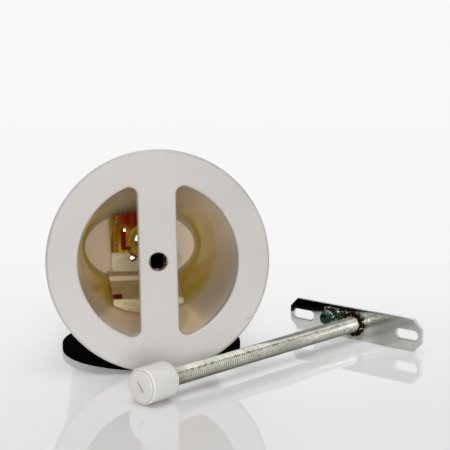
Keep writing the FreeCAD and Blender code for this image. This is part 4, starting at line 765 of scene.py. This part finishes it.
def screw_thread(radius, root, pitch, low, high, steps):
    """A right-hand thread about the Z axis with flat ends; sizes in millimetres."""
    mesh = bmesh.new()
    flank = (radius - root) * math.tan(math.radians(30.0))
    crest = pitch / 8
    start = low - 2 * pitch
    profile = ((root, 0.0), (root, pitch - crest - 2 * flank), (radius, pitch - crest - flank),
               (radius, pitch - flank), (root, pitch))
    points = [mesh.verts.new((r * 0.001, 0.0, (start + z) * 0.001)) for r, z in profile]
    edges = [mesh.edges.new(pair) for pair in zip(points, points[1:])]
    bmesh.ops.spin(mesh, geom=points + edges, cent=(0, 0, 0), axis=(0, 0, 1), angle=math.tau, steps=steps,
                   dvec=(0, 0, pitch * 0.001 / steps), use_merge=False, use_duplicate=False)
    turns = 1
    while turns * pitch < high - start + pitch:
        copy = bmesh.ops.duplicate(mesh, geom=[*mesh.verts, *mesh.edges, *mesh.faces])["geom"]
        bmesh.ops.translate(mesh, verts=[item for item in copy if isinstance(item, bmesh.types.BMVert)],
                            vec=(0.0, 0.0, turns * pitch * 0.001))
        turns *= 2
    bmesh.ops.remove_doubles(mesh, verts=mesh.verts, dist=2e-5)
    for level, direction in ((low, -1), (high, 1)):
        bmesh.ops.bisect_plane(mesh, geom=[*mesh.verts, *mesh.edges, *mesh.faces], dist=1e-7,
                               plane_co=(0, 0, level * 0.001), plane_no=(0, 0, direction), clear_outer=True)
        rim = [edge for edge in mesh.edges if edge.is_boundary
               and all(abs(v.co.z - level * 0.001) < 1e-6 for v in edge.verts)]
        bmesh.ops.holes_fill(mesh, edges=rim, sides=0)
    return mesh


def face_front(mesh, spot):
    """Moves a shape made about the Z axis to a spot, its Z axis pointing to the bracket's front."""
    mesh.transform(Matrix.Translation(spot) @ Matrix.Rotation(math.radians(90.0), 4, "X"))


rod_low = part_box("threaded_rod")[0]
rod_front = (hang.y - rod_low.y) * 1000.0
rod_root, rod_pitch = 3.50, 1.25
rod_mesh = screw_thread(rod_radius, rod_root, rod_pitch, -bracket_thick, rod_front, 32)
face_front(rod_mesh, hang)
rod_zinc, tree, shader = new_material("zinc_plated_thread")
tones = placed(tree, mottle, Size=70.0, Grain_size=2600.0)
plating = clouded(tree, tones, (0.54, 0.54, 0.47), (0.75, 0.75, 0.69))
specks = noise(tree, 520.0, 4.0, 0.7)
grimy = spread(tree, specks, 0.54, 0.66)
plating = blend_colours(tree, both(tree, grimy, 0.65), plating, (0.23, 0.19, 0.10))
from_axis = along(tree, hang, (0.0, 0.0, 1.0))
reach = off_axis(tree, from_axis, along(tree, hang, (1.0, 0.0, 0.0)))
# painted shade: the thread's roots are painted darker
valley = spread(tree, reach, 0.00390, 0.00352)
plating = blend_colours(tree, both(tree, valley, 0.18), plating, (0.20, 0.17, 0.10))
# painted shade: the rod's lower half is painted darker
plating = blend_colours(tree, spread(tree, from_axis, 0.0, -0.0032, 0.0, 0.80), plating, (0.17, 0.17, 0.12))
# painted reflection: a dotted dark line along the rod just below its top
rod_dark_reflection_line = both(tree, spread(tree, from_axis, 0.0021, 0.0023), spread(tree, from_axis, 0.0029, 0.0026))
plating = blend_colours(tree, both(tree, rod_dark_reflection_line, spread(tree, specks, 0.48, 0.56, 0.0, 0.7)),
                        plating, (0.16, 0.11, 0.05))
tree.links.new(plating, shader.inputs["Base Color"])
tree.links.new(sum_of(tree, "ADD", grained(tree, tones, 0.12, 0.24),
                      spread(tree, grimy, 0.0, 1.0, 0.0, 0.2)), shader.inputs["Roughness"])
shader.inputs["Metallic"].default_value = 1.0
tree.links.new(add(tree, "Bump", {"Height": tones["Grain"]}, Strength=0.15, Distance=0.0001).outputs[0],
               shader.inputs["Normal"])
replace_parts(piece_of("m8_thread", rod_mesh, rod_zinc, "switch_frame"), "threaded_rod")


# ------------------------------------------------------------------ lock washer
# Spring-steel washer with twelve twisted teeth, pressed between the rod's
# root and the bracket, its oil gone dark with amber flecks.

washer_low, washer_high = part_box("lock_washer")
washer_middle = (washer_low.y + washer_high.y) / 2
teeth = 12
bore_r, root_r, gap_r, tip_r = 4.1, 5.0, 4.85, 6.38
half_thick, twist = 0.35, 0.24
washer_teeth = bmesh.new()
rows = []
for tooth in range(teeth):
    for radius, angle, lift in ((root_r, -10.5, 0.0), (tip_r, -8.0, twist), (tip_r, 8.0, -twist),
                                (root_r, 10.5, 0.0), (gap_r, 15.0, 0.0)):
        turn = math.radians(360.0 * tooth / teeth + angle)
        row = []
        for r, level in ((bore_r, -half_thick), (radius, lift - half_thick),
                         (radius, lift + half_thick), (bore_r, half_thick)):
            row.append(washer_teeth.verts.new((hang.x + r * math.cos(turn) * 0.001,
                                               washer_middle + level * 0.001,
                                               hang.z + r * math.sin(turn) * 0.001)))
        rows.append(row)
for first, second in zip(rows, rows[1:] + rows[:1]):
    for index in range(4):
        after = (index + 1) % 4
        washer_teeth.faces.new((first[index], first[after], second[after], second[index]))
dark_steel, tree, shader = new_material("dark_spring_steel")
tones = placed(tree, mottle, Size=320.0, Grain_size=2500.0)
steel = clouded(tree, tones, (0.004, 0.003, 0.002), (0.014, 0.009, 0.005))
amber = spread(tree, noise(tree, 650.0, 3.0), 0.60, 0.65)
steel = blend_colours(tree, amber, steel, (0.62, 0.30, 0.05))
tree.links.new(steel, shader.inputs["Base Color"])
tree.links.new(grained(tree, tones, 0.18, 0.36), shader.inputs["Roughness"])
shader.inputs["Metallic"].default_value = 0.9
softened(tree, shader, tones["Grain"], strength=0.3, distance=0.0001, radius=0.0002)
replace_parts(piece_of("twisted_tooth_washer", washer_teeth, dark_steel, "switch_frame", 30.0),
            "lock_washer")


# ------------------------------------------------------------------ earth screw and clamp
# M4 screw with a ridged, domed head in glossy green, over a ridged saddle of
# plated steel that clamps the earth lead on the bracket.

earth_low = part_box("earth_screw")[0]
head_end = (hang.y - earth_low.y) * 1000.0
head_height = 2.4
seat = head_end - head_height
head = turned_shape([(2.0, seat), (2.9, seat), (3.05, seat + 0.15), (3.1, seat + 0.35), (3.1, seat + 1.5),
                     (3.0, seat + 1.85), (2.75, seat + 2.12), (2.4, seat + 2.3),
                     (2.1, seat + head_height)], 80)
side_ridges, ridge_depth = 20.0, 0.025
for vert in head.verts:
    around = math.atan2(vert.co.y, vert.co.x)
    if vert.co.xy.length > 0.00295:
        vert.co.xy *= 1.0 - ridge_depth * (1.0 + math.cos(around * side_ridges))
closed_top(head, head_end)
driver_slot(head, head_end, length=3.6, width=0.8, turn=20.0, depth=0.8)
earth_root, earth_pitch = 1.58, 0.7
shank = screw_thread(earth_radius, earth_root, earth_pitch, -bracket_thick, seat + 0.05, 24)
green_screw = joined([head, shank])
face_front(green_screw, on_bracket(earth_x, earth_z, 0.0))
green, tree, shader = new_material("green_lacquer_screw")
tones = placed(tree, mottle, Size=260.0, Grain_size=2400.0)
lacquer = clouded(tree, tones, (0.0003, 0.006, 0.003), (0.001, 0.075, 0.030))
rub = placed(tree, edge_rub, Radius=0.0003, Breakup_size=900.0)["Edge"]
lacquer = blend_colours(tree, both(tree, rub, 0.8), lacquer, (0.45, 0.70, 0.56))
tree.links.new(lacquer, shader.inputs["Base Color"])
tree.links.new(grained(tree, tones, 0.10, 0.22), shader.inputs["Roughness"])
shader.inputs["Metallic"].default_value = 0.75
shader.inputs["Coat Weight"].default_value = 0.25
shader.inputs["Coat Roughness"].default_value = 0.06
softened(tree, shader, tones["Grain"], strength=0.25, distance=0.0001, radius=0.0002)
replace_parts(piece_of("ridged_earth_screw", green_screw, green, "switch_frame"), "earth_screw")

clamp_steel, tree, shader = new_material("ridged_clamp_steel")
tones = placed(tree, mottle, Size=180.0, Grain_size=2400.0)
plating = clouded(tree, tones, (0.010, 0.022, 0.015), (0.46, 0.54, 0.49))
rub = placed(tree, edge_rub, Radius=0.0004, Breakup_size=900.0)["Edge"]
tree.links.new(blend_colours(tree, rub, plating, (0.92, 0.94, 0.92)), shader.inputs["Base Color"])
tree.links.new(grained(tree, tones, 0.08, 0.2), shader.inputs["Roughness"])
shader.inputs["Metallic"].default_value = 1.0
ridges = add(tree, "TexWave", {"Vector": add(tree, "TexCoord").outputs["Object"]}, Scale=260.0,
             Distortion=2.0, wave_type="BANDS", bands_direction="X")
softened(tree, shader, ridges.outputs["Fac"], strength=0.8, distance=0.0003, radius=0.0002)
finish_node("earth_clamp", clamp_steel)


# ------------------------------------------------------------------ cap nut
# Off-white moulded nut that closes the rod's free end: a raised end disc with a
# groove round it, a short driver slot, and soft edges.

cap_low, cap_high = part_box("cap_nut")
cap_mouth = Vector((hang.x, cap_high.y, hang.z))
cap_length = (cap_high.y - cap_low.y) * 1000.0
cap_radius = (cap_high.x - cap_low.x) * 500.0
shoulder = cap_length - 0.7
raised, bore, bore_depth = 7.0, 6.0, 11.3
cap_mesh = turned_shape(
    [(0.0, bore_depth), (bore, bore_depth), (bore, 0.25), (bore + 0.25, 0.0)]
    + corner_arc(cap_radius - 0.8, 0.8, 0.8, -90, 0)
    + corner_arc(cap_radius - 0.75, shoulder - 0.75, 0.75, 0, 90, 6)
    + [(raised + 0.34, shoulder - 0.02), (raised + 0.28, shoulder - 0.3), (raised, shoulder - 0.3)]
    + corner_arc(raised - 0.4, cap_length - 0.4, 0.4, 0, 90), 96)
closed_top(cap_mesh, cap_length)
driver_slot(cap_mesh, cap_length, length=5.6, width=0.8, turn=-52.0, depth=1.3)
face_front(cap_mesh, cap_mouth)

urea, tree, shader = new_material("white_urea_moulding")
tones = placed(tree, mottle, Size=90.0, Grain_size=1600.0)
white = clouded(tree, tones, (0.630, 0.610, 0.578), (0.662, 0.643, 0.613))
from_mouth = along(tree, cap_mouth, (0.0, -1.0, 0.0))
radius = off_axis(tree, along(tree, cap_mouth, (0.0, 0.0, 1.0)), along(tree, cap_mouth, (1.0, 0.0, 0.0)))
# painted shade: the groove round the end disc is painted pinkish brown, and the driver slot takes the same
# colour
in_groove = both(tree, spread(tree, radius, 0.00690, 0.00702), spread(tree, radius, 0.00742, 0.00732),
                 spread(tree, from_mouth, 0.01565, 0.01535, 0.0, 0.35))
in_slot = both(tree, spread(tree, radius, 0.0034, 0.0031), spread(tree, from_mouth, 0.01625, 0.01605),
               spread(tree, from_mouth, 0.0145, 0.0149))
tint_mask = sum_of(tree, "MAXIMUM", in_groove, in_slot)
white = blend_colours(tree, both(tree, tint_mask, 0.9), white, (0.55, 0.36, 0.27))
handled = placed(tree, edge_rub, Radius=0.0008, Breakup_size=300.0)["Edge"]
white = blend_colours(tree, both(tree, handled, 0.3), white, (0.86, 0.84, 0.80))
dust_and_shade = placed(tree, dust_and_shade_group, Amount=0.12, Patch_size=200.0)["Dust"]
tree.links.new(blend_colours(tree, dust_and_shade, white, (0.62, 0.60, 0.56)), shader.inputs["Base Color"])
tree.links.new(grained(tree, tones, 0.34, 0.46), shader.inputs["Roughness"])
tree.links.new(add(tree, "Bump", {"Height": tones["Grain"]}, Strength=0.12, Distance=0.0001).outputs[0],
               shader.inputs["Normal"])
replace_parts(piece_of("soft_cap_nut", cap_mesh, urea, "cap", 40.0), "cap_nut")
